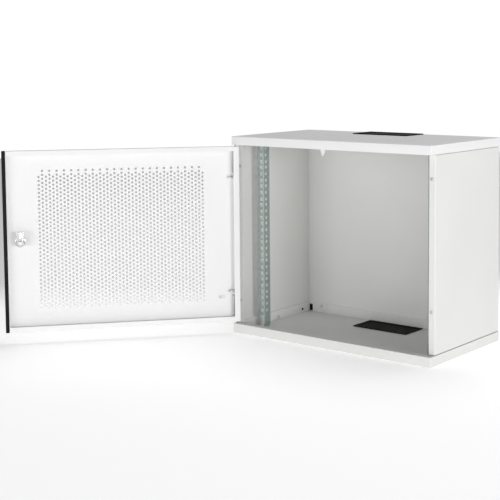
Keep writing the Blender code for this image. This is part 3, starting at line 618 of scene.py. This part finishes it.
def make_rear_panel():
    """A flat skin with a stepped strip behind the floor's and the roof's lips."""
    low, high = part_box("rear_panel")
    skin = box(
        "rear_shell", (low.x, high.y - SHEET, SKIN_LOW), (high.x, high.y, SKIN_HIGH), bend=0.0005, segments=2
    )
    strip_y = high.y - STEP_IN
    half = REAR_STRIP_HALF
    for edge, end, inward in PANEL_ENDS:
        ledge = sorted((edge, edge + inward * SHEET))
        strip = sorted((edge + inward * SHEET / 2, end))
        join(
            skin,
            box("rear_ledge", (-half, strip_y - SHEET, ledge[0]), (half, high.y - SHEET / 2, ledge[1])),
            box("rear_strip", (-half, strip_y - SHEET, strip[0]), (half, strip_y, strip[1])),
        )
    ends = []
    for side in ("left", "right"):
        at = middle_of(f"rear_screw_{side}")
        ends.append(((at.x, strip_y - 0.003, at.z), (at.x, strip_y + 0.003, at.z)))
    cut(skin, rods("rear_screw_holes", SCREW_HOLE_RADIUS, ends))
    soften(skin, SHEET_EDGE, 1, SHEET_EDGE_ANGLE)
    finish_piece(smooth(skin), "cabinet", "rear_panel", PAINT)


# ---------------------------------------------------------------- rack rails and their brackets

RACK_UNIT = 0.04445
UNITS = 9
UNIT_HOLES = (0.00635, 0.022225, 0.0381)
UNIT_BASE = 0.0402
RAIL_HOLE_X = 0.4651 / 2
RAIL_SQUARE = 0.0095
RAIL_SQUARE_CORNER = 0.0020
RAIL_ROUND_RADIUS = 0.0042
RAIL_ROUND_IN = 0.0105
RAIL_SHEET = 0.0015
RAIL_FOLD = 0.0016
RAIL_LOW, RAIL_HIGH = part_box("right_rail")
RAIL_FACE_Z = (0.0340, 0.4465)
BRACKET_FOLD = 0.0026


def make_rail(node, side):
    """An L-section rail: square holes with rounded corners in its face, round holes in its side."""
    line = [(RAIL_LOW.x, RAIL_HIGH.y), (RAIL_LOW.x, RAIL_LOW.y), (RAIL_HIGH.x, RAIL_LOW.y)]
    rail = prism(f"{node}_shell", folded_strip(line, RAIL_SHEET, RAIL_FOLD), RAIL_LOW.z, RAIL_HIGH.z)
    past = 0.004
    face_x = (RAIL_LOW.x + RAIL_FOLD, RAIL_HIGH.x + past)
    face_y = (RAIL_LOW.y - past, RAIL_LOW.y + RAIL_SHEET + 0.001)
    cutters = [boxes(f"{node}_ends", [
        ((face_x[0], face_y[0], RAIL_LOW.z - past), (face_x[1], face_y[1], RAIL_FACE_Z[0])),
        ((face_x[0], face_y[0], RAIL_FACE_Z[1]), (face_x[1], face_y[1], RAIL_HIGH.z + past)),
    ])]
    heights = [UNIT_BASE + unit * RACK_UNIT + hole for unit in range(UNITS) for hole in UNIT_HOLES]
    half = RAIL_SQUARE / 2
    squares = bmesh.new()
    for z in heights:
        add_box(
            squares, (RAIL_HOLE_X - half, RAIL_LOW.y - 0.001, z - half),
            (RAIL_HOLE_X + half, RAIL_LOW.y + RAIL_SHEET + 0.001, z + half),
        )
    through = [e for e in squares.edges if abs(e.verts[0].co.y - e.verts[1].co.y) > 0.001]
    bmesh.ops.bevel(
        squares, geom=through, offset=RAIL_SQUARE_CORNER, segments=3, profile=0.5, affect="EDGES"
    )
    cutters.append(mesh_object(f"{node}_squares", squares))
    side_y = RAIL_LOW.y + RAIL_ROUND_IN
    web_x = (RAIL_LOW.x - 0.001, RAIL_LOW.x + RAIL_SHEET + 0.001)
    cutters.append(rods(
        f"{node}_rounds", RAIL_ROUND_RADIUS, [((web_x[0], side_y, z), (web_x[1], side_y, z)) for z in heights]
    ))
    word = "right" if side > 0 else "left"
    ends = []
    for end in ("upper", "lower"):
        at = middle_of(f"rail_screw_{end}_{word}")
        ends.append(((web_x[0], at.y, at.z), (web_x[1], at.y, at.z)))
    cutters.append(rods(f"{node}_screws", SCREW_HOLE_RADIUS, ends))
    cut(rail, *cutters)
    soften(rail, 0.00016, 1, SHEET_EDGE_ANGLE)
    reflect(rail, side)
    finish_piece(smooth(rail), "cabinet", node, RAIL_ZINC)


def make_bracket(end, word):
    """A folded angle: a foot on the floor or under the roof, and a leg behind the rail's side."""
    node = f"rail_bracket_{end}_{word}"
    low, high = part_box(node)
    near, far = (high.x, low.x) if word == "left" else (low.x, high.x)
    free_z, seat_z = (high.z, low.z) if end == "lower" else (low.z, high.z)
    # The line runs down the leg's side and along the foot's underside, with the sheet on its left.
    line = [(near, free_z), (near, seat_z), (far, seat_z)]
    down = free_z > seat_z
    right = far > near
    if down != right:
        line.reverse()
    turn = Matrix(((1, 0, 0, 0), (0, 0, 1, 0), (0, 1, 0, 0), (0, 0, 0, 1)))
    angle = prism(f"{node}_shell", folded_strip(line, RAIL_SHEET, BRACKET_FOLD), low.y, high.y, turn)
    x, y, z = middle_of(f"rail_screw_{end}_{word}")
    cut(angle, rods(f"{node}_hole", SCREW_HOLE_RADIUS, [((x - 0.02, y, z), (x + 0.02, y, z))]))
    soften(angle, 0.0002, 2, SHEET_EDGE_ANGLE)
    finish_piece(smooth(angle), "cabinet", node, BRACKET_ZINC)


# ---------------------------------------------------------------- screws

SCREW_HEAD_RADIUS = 0.0036
SCREW_HEAD = 0.0012
SCREW_SHANK_RADIUS = 0.0019
CROSS_LENGTH = 0.0037
CROSS_WIDTH = 0.0008
CROSS_DEPTH = 0.0014
CROSS_TURN = math.radians(27)


def make_screw(node, direction):
    """A pan-head screw with a domed edge and a cross recess; direction points out of its head."""
    low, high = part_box(node)
    middle = (low + high) / 2
    direction = Vector(direction)
    length = abs((high - low).dot(direction))
    foot = middle - direction * length / 2
    r, s = SCREW_HEAD_RADIUS, SCREW_SHANK_RADIUS
    under = length - SCREW_HEAD
    profile = [(0.0, 0.0), (s * 0.7, 0.0), (s, 0.0005)]
    profile += [(s, under), (r - 0.0001, under), (r, under + 0.0001), (r, length - 0.0007)]
    profile += [(r - 0.0003, length - 0.00035), (r - 0.0008, length - 0.0001), (r - 0.0014, length)]
    profile += [(0.0, length)]
    screw = lathe(f"{node}_turned", profile, foot, direction, sides=32)
    turn = Vector((0, 0, 1)).rotation_difference(direction).to_matrix().to_4x4()
    top = Matrix.Translation(middle + direction * length / 2)
    place = top @ turn @ Matrix.Rotation(CROSS_TURN, 4, "Z")
    recess = bmesh.new()
    for size in ((CROSS_LENGTH, CROSS_WIDTH, CROSS_DEPTH), (CROSS_WIDTH, CROSS_LENGTH, CROSS_DEPTH)):
        bmesh.ops.create_cube(recess, size=1.0, matrix=place @ Matrix.Diagonal((*size, 1.0)))
    cross = mesh_object(f"{node}_cross", recess)
    step = screw.modifiers.new("cross", "BOOLEAN")
    step.operation = "DIFFERENCE"
    step.solver = "EXACT"
    step.use_self = True
    step.object = cross
    settle(screw)
    bpy.data.objects.remove(cross, do_unlink=True)
    finish_piece(smooth(screw, 40), "cabinet", node, FASTENER)


# ---------------------------------------------------------------- cable entries

GROOVE_IN = 0.0050
GROOVE_WIDTH = 0.0006
GROOVE_DEPTH = 0.0003


def make_entry(prefix):
    """The entry's frame, and its cover with a fine line pressed round it."""
    low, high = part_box(f"{prefix}_entry_cover")
    cover = box(f"{prefix}_cover_plate", low, high, bend=0.0004, segments=2)
    x0, x1 = low.x + GROOVE_IN, high.x - GROOVE_IN
    y0, y1 = low.y + GROOVE_IN, high.y - GROOVE_IN
    wide = GROOVE_WIDTH
    sides = (
        ((x0, y0), (x1, y0 + wide)),
        ((x0, y1 - wide), (x1, y1)),
        ((x0, y0 + wide), (x0 + wide, y1 - wide)),
        ((x1 - wide, y0 + wide), (x1, y1 - wide)),
    )
    for near, far in sides:
        cut(cover, box("groove", (*near, high.z - GROOVE_DEPTH), (*far, high.z + 0.001)))
    finish_piece(smooth(cover), "cabinet", f"{prefix}_entry_cover", COVER_BLACK)
    paint_node(f"{prefix}_entry_frame", ENTRY_BLACK_AND_PAINTED_SHADE)


# ---------------------------------------------------------------- door


def along_lock(start_y, end_y):
    """The ends of a rod on the lock's axis."""
    return (LOCK_X, start_y, LOCK_Z), (LOCK_X, end_y, LOCK_Z)


def make_door():
    """The door's shallow tray: folded rims on four sides, a turned-in lip, and the perforated field."""
    left, right, front, rim = DOOR_LEFT, DOOR_RIGHT, FRONT, DOOR_RIM_Y
    panel = box("door_shell", (left, front, DOOR_BOTTOM), (right, rim, DOOR_TOP), bend=0.0016, segments=4)
    room = box(
        "door_room", (left + SHEET, front + SHEET, DOOR_BOTTOM + SHEET),
        (right - SHEET, rim - SHEET, DOOR_TOP - SHEET), bend=0.0005, segments=2,
    )
    mouth = box(
        "door_mouth", (left + DOOR_LIP_HINGE, rim - SHEET - 0.001, DOOR_BOTTOM + DOOR_LIP_BOTTOM),
        (right - SHEET, rim + 0.010, DOOR_TOP - DOOR_LIP_TOP),
    )
    cut(panel, room, mouth)
    lock = rods("door_lock_hole", LOCK_HOLE_RADIUS, [along_lock(front - 0.004, front + 0.006)], 48)
    pins = rods("door_pin_holes", PIN_HOLE_RADIUS, [
        ((PIVOT.x, PIVOT.y, z - 0.004), (PIVOT.x, PIVOT.y, z + 0.004)) for z in (DOOR_BOTTOM, DOOR_TOP)
    ])
    cut(panel, lock, pins)
    soften(panel, SHEET_EDGE, 1, SHEET_EDGE_ANGLE)
    ends = []
    for column in range(COLUMNS):
        long = column % 2
        first, rows = (LONG_FIRST_HOLE_Z, LONG_ROWS) if long else (FIRST_HOLE_Z, SHORT_ROWS)
        x = FIRST_COLUMN_X + column * COLUMN_STEP
        ends += [
            ((x, front - 0.002, first + row * ROW_STEP), (x, front + 0.003, first + row * ROW_STEP))
            for row in range(rows)
        ]
    cut(panel, rods("door_perforation", HOLE_RADIUS, ends, HOLE_SIDES), solver="MANIFOLD")
    open_door(smooth(panel))
    finish_piece(panel, "door", "door_panel", DOOR_PAINT_PAINTED_SHADE)


TRIM_WIDTH = 0.0080


def make_trim():
    """The black moulded strip on the door's free edge, rounded most at its outer front corner."""
    low_x, high_x = DOOR_RIGHT + GAP, DOOR_RIGHT + GAP + TRIM_WIDTH
    points = arc((high_x - 0.0030, FRONT + 0.0030), 0.0030, 0, -90, 6)
    points += arc((low_x + 0.0012, FRONT + 0.0012), 0.0012, -90, -180, 4)
    points += arc((low_x + 0.0006, DOOR_RIM_Y - 0.0006), 0.0006, 180, 90, 3)
    points += arc((high_x - 0.0020, DOOR_RIM_Y - 0.0020), 0.0020, 90, 0, 5)
    trim = prism("door_trim_strip", points, DOOR_BOTTOM, DOOR_TOP)
    soften(trim, 0.0006, 2, 50)
    open_door(smooth(trim))
    finish_piece(trim, "door", "door_edge_trim", TRIM_BLACK)


PIN_RADIUS = 0.0025
PIN_OUT = 0.0110
HOLDER_FROM_EDGE = 0.0123
HOLDER_LENGTH = 0.0495
HOLDER_INNER_X = -0.2525
HOLDER_OUTER_X = DOOR_LEFT + SHEET + GAP
HOLDER_Y = (FRONT + SHEET + GAP, FRONT + 0.0135)
PIN_HANDLE_BELOW = 0.0105
PIN_HANDLE_REACH = 0.0200
PIN_BEND = 0.0040
COLLAR_RADIUS = 0.0040
COLLAR = 0.0015
SPRING_RADIUS = 0.0035
SPRING_WIRE_RADIUS = 0.00035
SPRING_LENGTH = 0.0285
SPRING_TURNS = 9
SPRING_STEPS = 24
SPRING_DEAD_TURNS = 1.25
HOLDER_EAR = 0.0015


def tube(name, points, radius, resolution=5, taper=None):
    """A round bar along points, with closed ends; taper gives each point its share of the radius."""
    curve = bpy.data.curves.new(name, "CURVE")
    curve.dimensions = "3D"
    curve.bevel_depth = radius
    curve.bevel_resolution = resolution
    curve.use_fill_caps = True
    spline = curve.splines.new("POLY")
    spline.points.add(len(points) - 1)
    for i, point in enumerate(spline.points):
        point.co = (*points[i], 1.0)
        point.radius = taper[i] if taper else 1.0
    guide = link(f"{name}_guide", curve)
    bpy.context.view_layer.update()
    data = bpy.data.meshes.new_from_object(guide.evaluated_get(bpy.context.evaluated_depsgraph_get()))
    data.materials.clear()
    bpy.data.objects.remove(guide, do_unlink=True)
    shape = bmesh.new()
    shape.from_mesh(data)
    bpy.data.meshes.remove(data)
    bmesh.ops.remove_doubles(shape, verts=shape.verts, dist=1e-6)
    return mesh_object(name, shape)


def make_hinge_pin(prefix, edge, outward):
    """Holder, spring and bent pin at one end of the door; outward is the sign along Z of the pin's tip."""
    near = edge - outward * HOLDER_FROM_EDGE
    far = near - outward * HOLDER_LENGTH
    holder_z = sorted((near, far))
    holder = box(
        f"{prefix}_holder_shell", (HOLDER_OUTER_X, HOLDER_Y[0], holder_z[0]),
        (HOLDER_INNER_X, HOLDER_Y[1], holder_z[1]), bend=0.0012, segments=3,
    )
    room = box(
        f"{prefix}_holder_room", (HOLDER_OUTER_X - 0.005, HOLDER_Y[0] - 0.005, holder_z[0] + HOLDER_EAR),
        (HOLDER_INNER_X - SHEET, HOLDER_Y[1] + 0.005, holder_z[1] - HOLDER_EAR), bend=0.0005, segments=2,
    )
    hole = rods(f"{prefix}_holder_hole", PIN_RADIUS + GAP, [
        ((PIVOT.x, PIVOT.y, holder_z[0] - 0.01), (PIVOT.x, PIVOT.y, holder_z[1] + 0.01))
    ], 32)
    cut(holder, room, hole)
    soften(holder, 0.00018, 1, SHEET_EDGE_ANGLE)
    open_door(smooth(holder))
    finish_piece(holder, "door", f"{prefix}_pin_holder", BRACKET_ZINC)

    tip = edge + outward * PIN_OUT
    handle = far - outward * PIN_HANDLE_BELOW
    start = Vector((PIVOT.x, PIVOT.y, handle))
    turn = arc((PIN_BEND, PIN_BEND), PIN_BEND, 270.0, 180.0, 10)
    length = abs(tip - handle)
    flat = [(PIN_HANDLE_REACH, 0.0), (PIN_HANDLE_REACH - 0.0004, 0.0)] + turn
    flat += [(0.0, length - 0.0012), (0.0, length - 0.0004), (0.0, length)]
    taper = [0.75] + [1.0] * (len(flat) - 3) + [0.82, 0.55]
    route = [start + Vector((x, 0.0, outward * along)) for x, along in flat]
    pin = tube(f"{prefix}_pin_bar", route, PIN_RADIUS, 7, taper)
    spring_end = far + outward * (HOLDER_EAR + GAP)
    collar_at = spring_end + outward * (SPRING_LENGTH + 2 * GAP)
    r, c = COLLAR_RADIUS, COLLAR
    collar = lathe(
        f"{prefix}_collar",
        [(0.0, 0.0), (r - 0.0003, 0.0), (r, 0.0003), (r, c - 0.0003), (r - 0.0003, c), (0.0, c)],
        (PIVOT.x, PIVOT.y, collar_at), (0, 0, outward), 40,
    )
    join(pin, collar)
    open_door(smooth(pin, 40))
    finish_piece(pin, f"{prefix}_pin", f"{prefix}_hinge_pin", PIN_STEEL)

    steps, dead = SPRING_STEPS, SPRING_DEAD_TURNS
    wire = 2.2 * SPRING_WIRE_RADIUS
    rise = SPRING_LENGTH - 2 * SPRING_WIRE_RADIUS
    total = SPRING_TURNS * steps
    coil = []
    for i in range(total + 1):
        turn_at = i / steps
        ending = SPRING_TURNS - turn_at
        if turn_at < dead:
            height = wire * turn_at
        elif ending < dead:
            height = rise - wire * ending
        else:
            share = (turn_at - dead) / (SPRING_TURNS - 2 * dead)
            height = wire * dead + share * (rise - 2 * wire * dead)
        angle = 2 * math.pi * turn_at
        outward_xy = Vector((SPRING_RADIUS * math.cos(angle), SPRING_RADIUS * math.sin(angle), 0))
        coil.append(start + outward_xy)
        coil[-1].z = spring_end + outward * (SPRING_WIRE_RADIUS + height)
    spring = tube(f"{prefix}_spring_coil", coil, SPRING_WIRE_RADIUS, 2)
    open_door(smooth(spring, 60))
    finish_piece(spring, "door", f"{prefix}_pin_spring", SPRING_STEEL)
    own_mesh(spring)


BARREL_RADIUS = 0.0092
BARREL_END_Y = FRONT + 0.0224
CORE_RADIUS = 0.0062
LOCK_FACE_RADIUS = 0.0110
LOCK_FACE = 0.0024
NUT_ACROSS = 0.0220
NUT_THICK = 0.0040
KEYWAY = (0.0012, 0.0070)
THREAD_DEPTH = 0.0004
THREAD_PITCH = 0.0010
CAM_WIDTH = 0.0148
CAM_REACH = 0.0260
CAM_THICK = 0.0018
CAM_CORNER = 0.0020
CAM_BORE_RADIUS = 0.0025


def make_lock():
    """The cam lock: a threaded barrel and its nut on the door, and a core, a cam and a screw that turn."""
    bore = CORE_RADIUS + GAP
    face_y = FRONT - GAP - LOCK_FACE
    length = BARREL_END_Y - face_y
    r, f = BARREL_RADIUS, LOCK_FACE_RADIUS
    root, pitch = r - THREAD_DEPTH, THREAD_PITCH
    profile = [(bore, 0.0003), (bore + 0.0003, 0.0), (f - 0.0008, 0.0), (f - 0.0002, 0.0003), (f, 0.0009)]
    profile += [(f, LOCK_FACE - 0.0002), (f - 0.0002, LOCK_FACE), (root, LOCK_FACE)]
    at = LOCK_FACE + 0.0006
    while at + pitch < length - 0.0008:
        profile += [(root, at), (r, at + pitch * 0.4), (r, at + pitch * 0.6)]
        at += pitch
    profile += [(root, at), (root, length - 0.0004), (r - 0.0008, length), (bore, length)]
    housing = lathe("lock_barrel", profile, (LOCK_X, face_y, LOCK_Z), (0, 1, 0), 56)
    open_door(smooth(housing, 30))
    finish_piece(housing, "door", "lock_housing", CHROME)

    nut_y = FRONT + SHEET + GAP
    nut = rods("lock_hex_nut", NUT_ACROSS / math.sqrt(3), [along_lock(nut_y, nut_y + NUT_THICK)], 6)
    soften(nut, 0.0005, 2, 50)
    cut(nut, rods("nut_bore", BARREL_RADIUS + GAP, [along_lock(nut_y - 0.01, nut_y + 0.02)], 48))
    open_door(smooth(nut, 28))
    finish_piece(nut, "door", "lock_nut", CHROME)

    core_end = BARREL_END_Y + 0.0004
    c = CORE_RADIUS
    start_y = FRONT - LOCK_FACE
    depth = core_end - start_y
    hole = 0.0022
    core = lathe(
        "lock_plug",
        [(0.0, 0.0), (c - 0.0005, 0.0), (c, 0.0004), (c, depth - 0.0003), (c - 0.0003, depth), (hole, depth),
         (hole, depth - 0.006), (0.0, depth - 0.006)],
        (LOCK_X, start_y, LOCK_Z), (0, 1, 0), 48,
    )
    key_x, key_z = KEYWAY[0] / 2, KEYWAY[1] / 2
    cut(core, box(
        "keyway", (LOCK_X - key_x, FRONT - 0.010, LOCK_Z - key_z),
        (LOCK_X + key_x, FRONT + 0.002, LOCK_Z + key_z),
    ))
    open_door(smooth(core, 30))
    finish_piece(core, "lock", "lock_core", CHROME)

    half, corner = CAM_WIDTH / 2, CAM_CORNER
    shape = arc((0.0, 0.0), half, 180.0, 360.0, 24)
    shape += arc((half - corner, CAM_REACH - corner), corner, 0, 90, 5)
    shape += arc((-half + corner, CAM_REACH - corner), corner, 90, 180, 5)
    cam_y = core_end + GAP
    place = Matrix.Translation((LOCK_X, cam_y + CAM_THICK, LOCK_Z)) @ Matrix.Rotation(math.pi / 2, 4, "X")
    cam = prism("lock_tongue", shape, 0.0, CAM_THICK, place)
    cut(cam, rods("cam_bore", CAM_BORE_RADIUS, [along_lock(cam_y - 0.01, cam_y + 0.01)], 32))
    soften(cam, 0.00025, 2, 50)
    open_door(smooth(cam, 35))
    finish_piece(cam, "lock", "lock_cam", CHROME)
    paint_node("cam_screw", FASTENER)


# ---------------------------------------------------------------- build

make_roof()
make_tray()
for word, side in (("left", -1), ("right", 1)):
    make_side_panel(f"{word}_side_panel", side)
    make_rail(f"{word}_rail", side)
    for end in ("lower", "upper"):
        make_bracket(end, word)
        make_screw(f"rail_screw_{end}_{word}", (-side, 0, 0))
        make_screw(f"flange_screw_{word}_{end}", (0, -1, 0))
    make_screw(f"tray_screw_{word}", (-side, 0, 0))
    make_screw(f"rear_screw_{word}", (0, -1, 0))
    # The corner plugs and strip buttons are painted black as the shade inside the corner slots and strip
    # holes they fill.
    paint_node(f"corner_plug_{word}", ENTRY_BLACK_AND_PAINTED_SHADE)
    paint_node(f"strip_button_{word}", ENTRY_BLACK_AND_PAINTED_SHADE)
make_rear_panel()
paint_node("door_stop_tab", PAINT)
for prefix in ("floor", "roof"):
    make_entry(prefix)
make_door()
make_trim()
make_hinge_pin("upper", DOOR_TOP, 1)
make_hinge_pin("lower", DOOR_BOTTOM, -1)
make_lock()
paint_node("door_earth_tab", FASTENER)


# ---------------------------------------------------------------- floor, light and camera

CAMERA_PLACE = Vector((1.5044, -2.2071, 0.6452))
CAMERA_YAW, CAMERA_PITCH, CAMERA_ROLL = (math.radians(a) for a in (38.391, 4.986, -0.381))
SENSOR = 36
LENS = 83.9376
SHIFT = (-0.060, -0.180)
LIGHT_TARGET = (0.0, 0.0, 0.24)
FLOOR_RADIUS = 5.4
FLOOR_DROP = 0.0005
FLOOR_GLOW = 0.41
# Centre and reach of the painted shadow on the floor behind the open door.
PAINTED_SHADOW_CENTRE = (-2.3, 2.1)
PAINTED_SHADOW_REACH = 5.0
SKY_TOP = 0.20
SKY_STRENGTH = 1.02


def make_camera():
    data = bpy.data.cameras.new("camera")
    data.sensor_width = SENSOR
    data.lens = LENS
    data.shift_x, data.shift_y = SHIFT
    data.clip_start = 0.01
    camera = link("camera", data)
    yaw, pitch, roll = CAMERA_YAW, CAMERA_PITCH, CAMERA_ROLL
    forward = Vector((-math.sin(yaw) * math.cos(pitch), math.cos(yaw) * math.cos(pitch), -math.sin(pitch)))
    right = Vector((math.cos(yaw), math.sin(yaw), 0.0))
    up = right.cross(forward)
    turned_right = math.cos(roll) * right + math.sin(roll) * up
    turned_up = -math.sin(roll) * right + math.cos(roll) * up
    axes = Matrix((turned_right, turned_up, -forward)).transposed().to_4x4()
    camera.matrix_world = Matrix.Translation(CAMERA_PLACE) @ axes
    bpy.context.scene.camera = camera


def area_light(name, place, target, size, power):
    data = bpy.data.lights.new(name, "AREA")
    data.shape = "RECTANGLE"
    data.size, data.size_y = size
    data.energy = power
    light = link(name, data)
    light.location = place
    light.rotation_euler = (Vector(target) - Vector(place)).to_track_quat("-Z", "Y").to_euler()


def make_floor():
    """A white floor with a painted shadow: its colour and glow fall to light grey far behind the open door,
    seen through its holes.
    """
    shape = bmesh.new()
    bmesh.ops.create_circle(shape, cap_ends=True, segments=96, radius=FLOOR_RADIUS)
    floor = mesh_object("studio_floor", shape)
    made, tree, shader = node_material("studio_paper")
    place = tree.nodes.new("ShaderNodeTexCoord")
    mapping = tree.nodes.new("ShaderNodeMapping")
    (x, y), reach = PAINTED_SHADOW_CENTRE, PAINTED_SHADOW_REACH
    mapping.inputs["Location"].default_value = (-x / reach, -y / reach, 0.0)
    mapping.inputs["Scale"].default_value = (1 / reach, 1 / reach, 1 / reach)
    painted_shadow = tree.nodes.new("ShaderNodeTexGradient")
    painted_shadow.gradient_type = "SPHERICAL"
    tree.links.new(place.outputs["Object"], mapping.inputs["Vector"])
    tree.links.new(mapping.outputs["Vector"], painted_shadow.inputs["Vector"])
    # The grey on the floor is painted shadow, standing in for the door's shadow behind it; it darkens both
    # the colour and the glow.
    paper_and_painted_shadow = ramp(tree, painted_shadow.outputs["Fac"], [(0.444, (0.93, 0.93, 0.93)), (0.51, (0.62, 0.62, 0.62))])
    tree.links.new(paper_and_painted_shadow, shader.inputs["Base Color"])
    tree.links.new(paper_and_painted_shadow, shader.inputs["Emission Color"])
    shader.inputs["Emission Strength"].default_value = FLOOR_GLOW
    shader.inputs["Roughness"].default_value = 0.85
    shader.inputs["Specular IOR Level"].default_value = 0.0
    floor.data.materials.append(made)
    floor.location.z = -FLOOR_DROP


def make_sky():
    """White all round at the height of the eye, and dimmer overhead."""
    world = bpy.data.worlds.new("studio")
    world.use_nodes = True
    tree = world.node_tree
    place = tree.nodes.new("ShaderNodeTexCoord")
    split = tree.nodes.new("ShaderNodeSeparateXYZ")
    tree.links.new(place.outputs["Generated"], split.inputs["Vector"])
    sky = ramp(tree, split.outputs["Z"], [(0.08, (1.0, 1.0, 1.0)), (0.34, (SKY_TOP, SKY_TOP, SKY_TOP))])
    background = tree.nodes["Background"]
    tree.links.new(sky, background.inputs["Color"])
    background.inputs["Strength"].default_value = SKY_STRENGTH
    bpy.context.scene.world = world


area_light("key", (0.1, -4.3, 0.25), LIGHT_TARGET, (2.4, 1.1), 53)
area_light("fill", (2.9, -3.4, 0.25), LIGHT_TARGET, (1.2, 1.0), 20)
area_light("side", (4.1, -1.6, 0.50), LIGHT_TARGET, (1.2, 1.2), 65)
area_light("overhead", (0.1, 0.9, 3.4), (0.0, 0.0, 0.4), (2.4, 2.0), 46)
make_floor()
make_sky()
make_camera()
bpy.context.scene.view_settings.view_transform = "Standard"
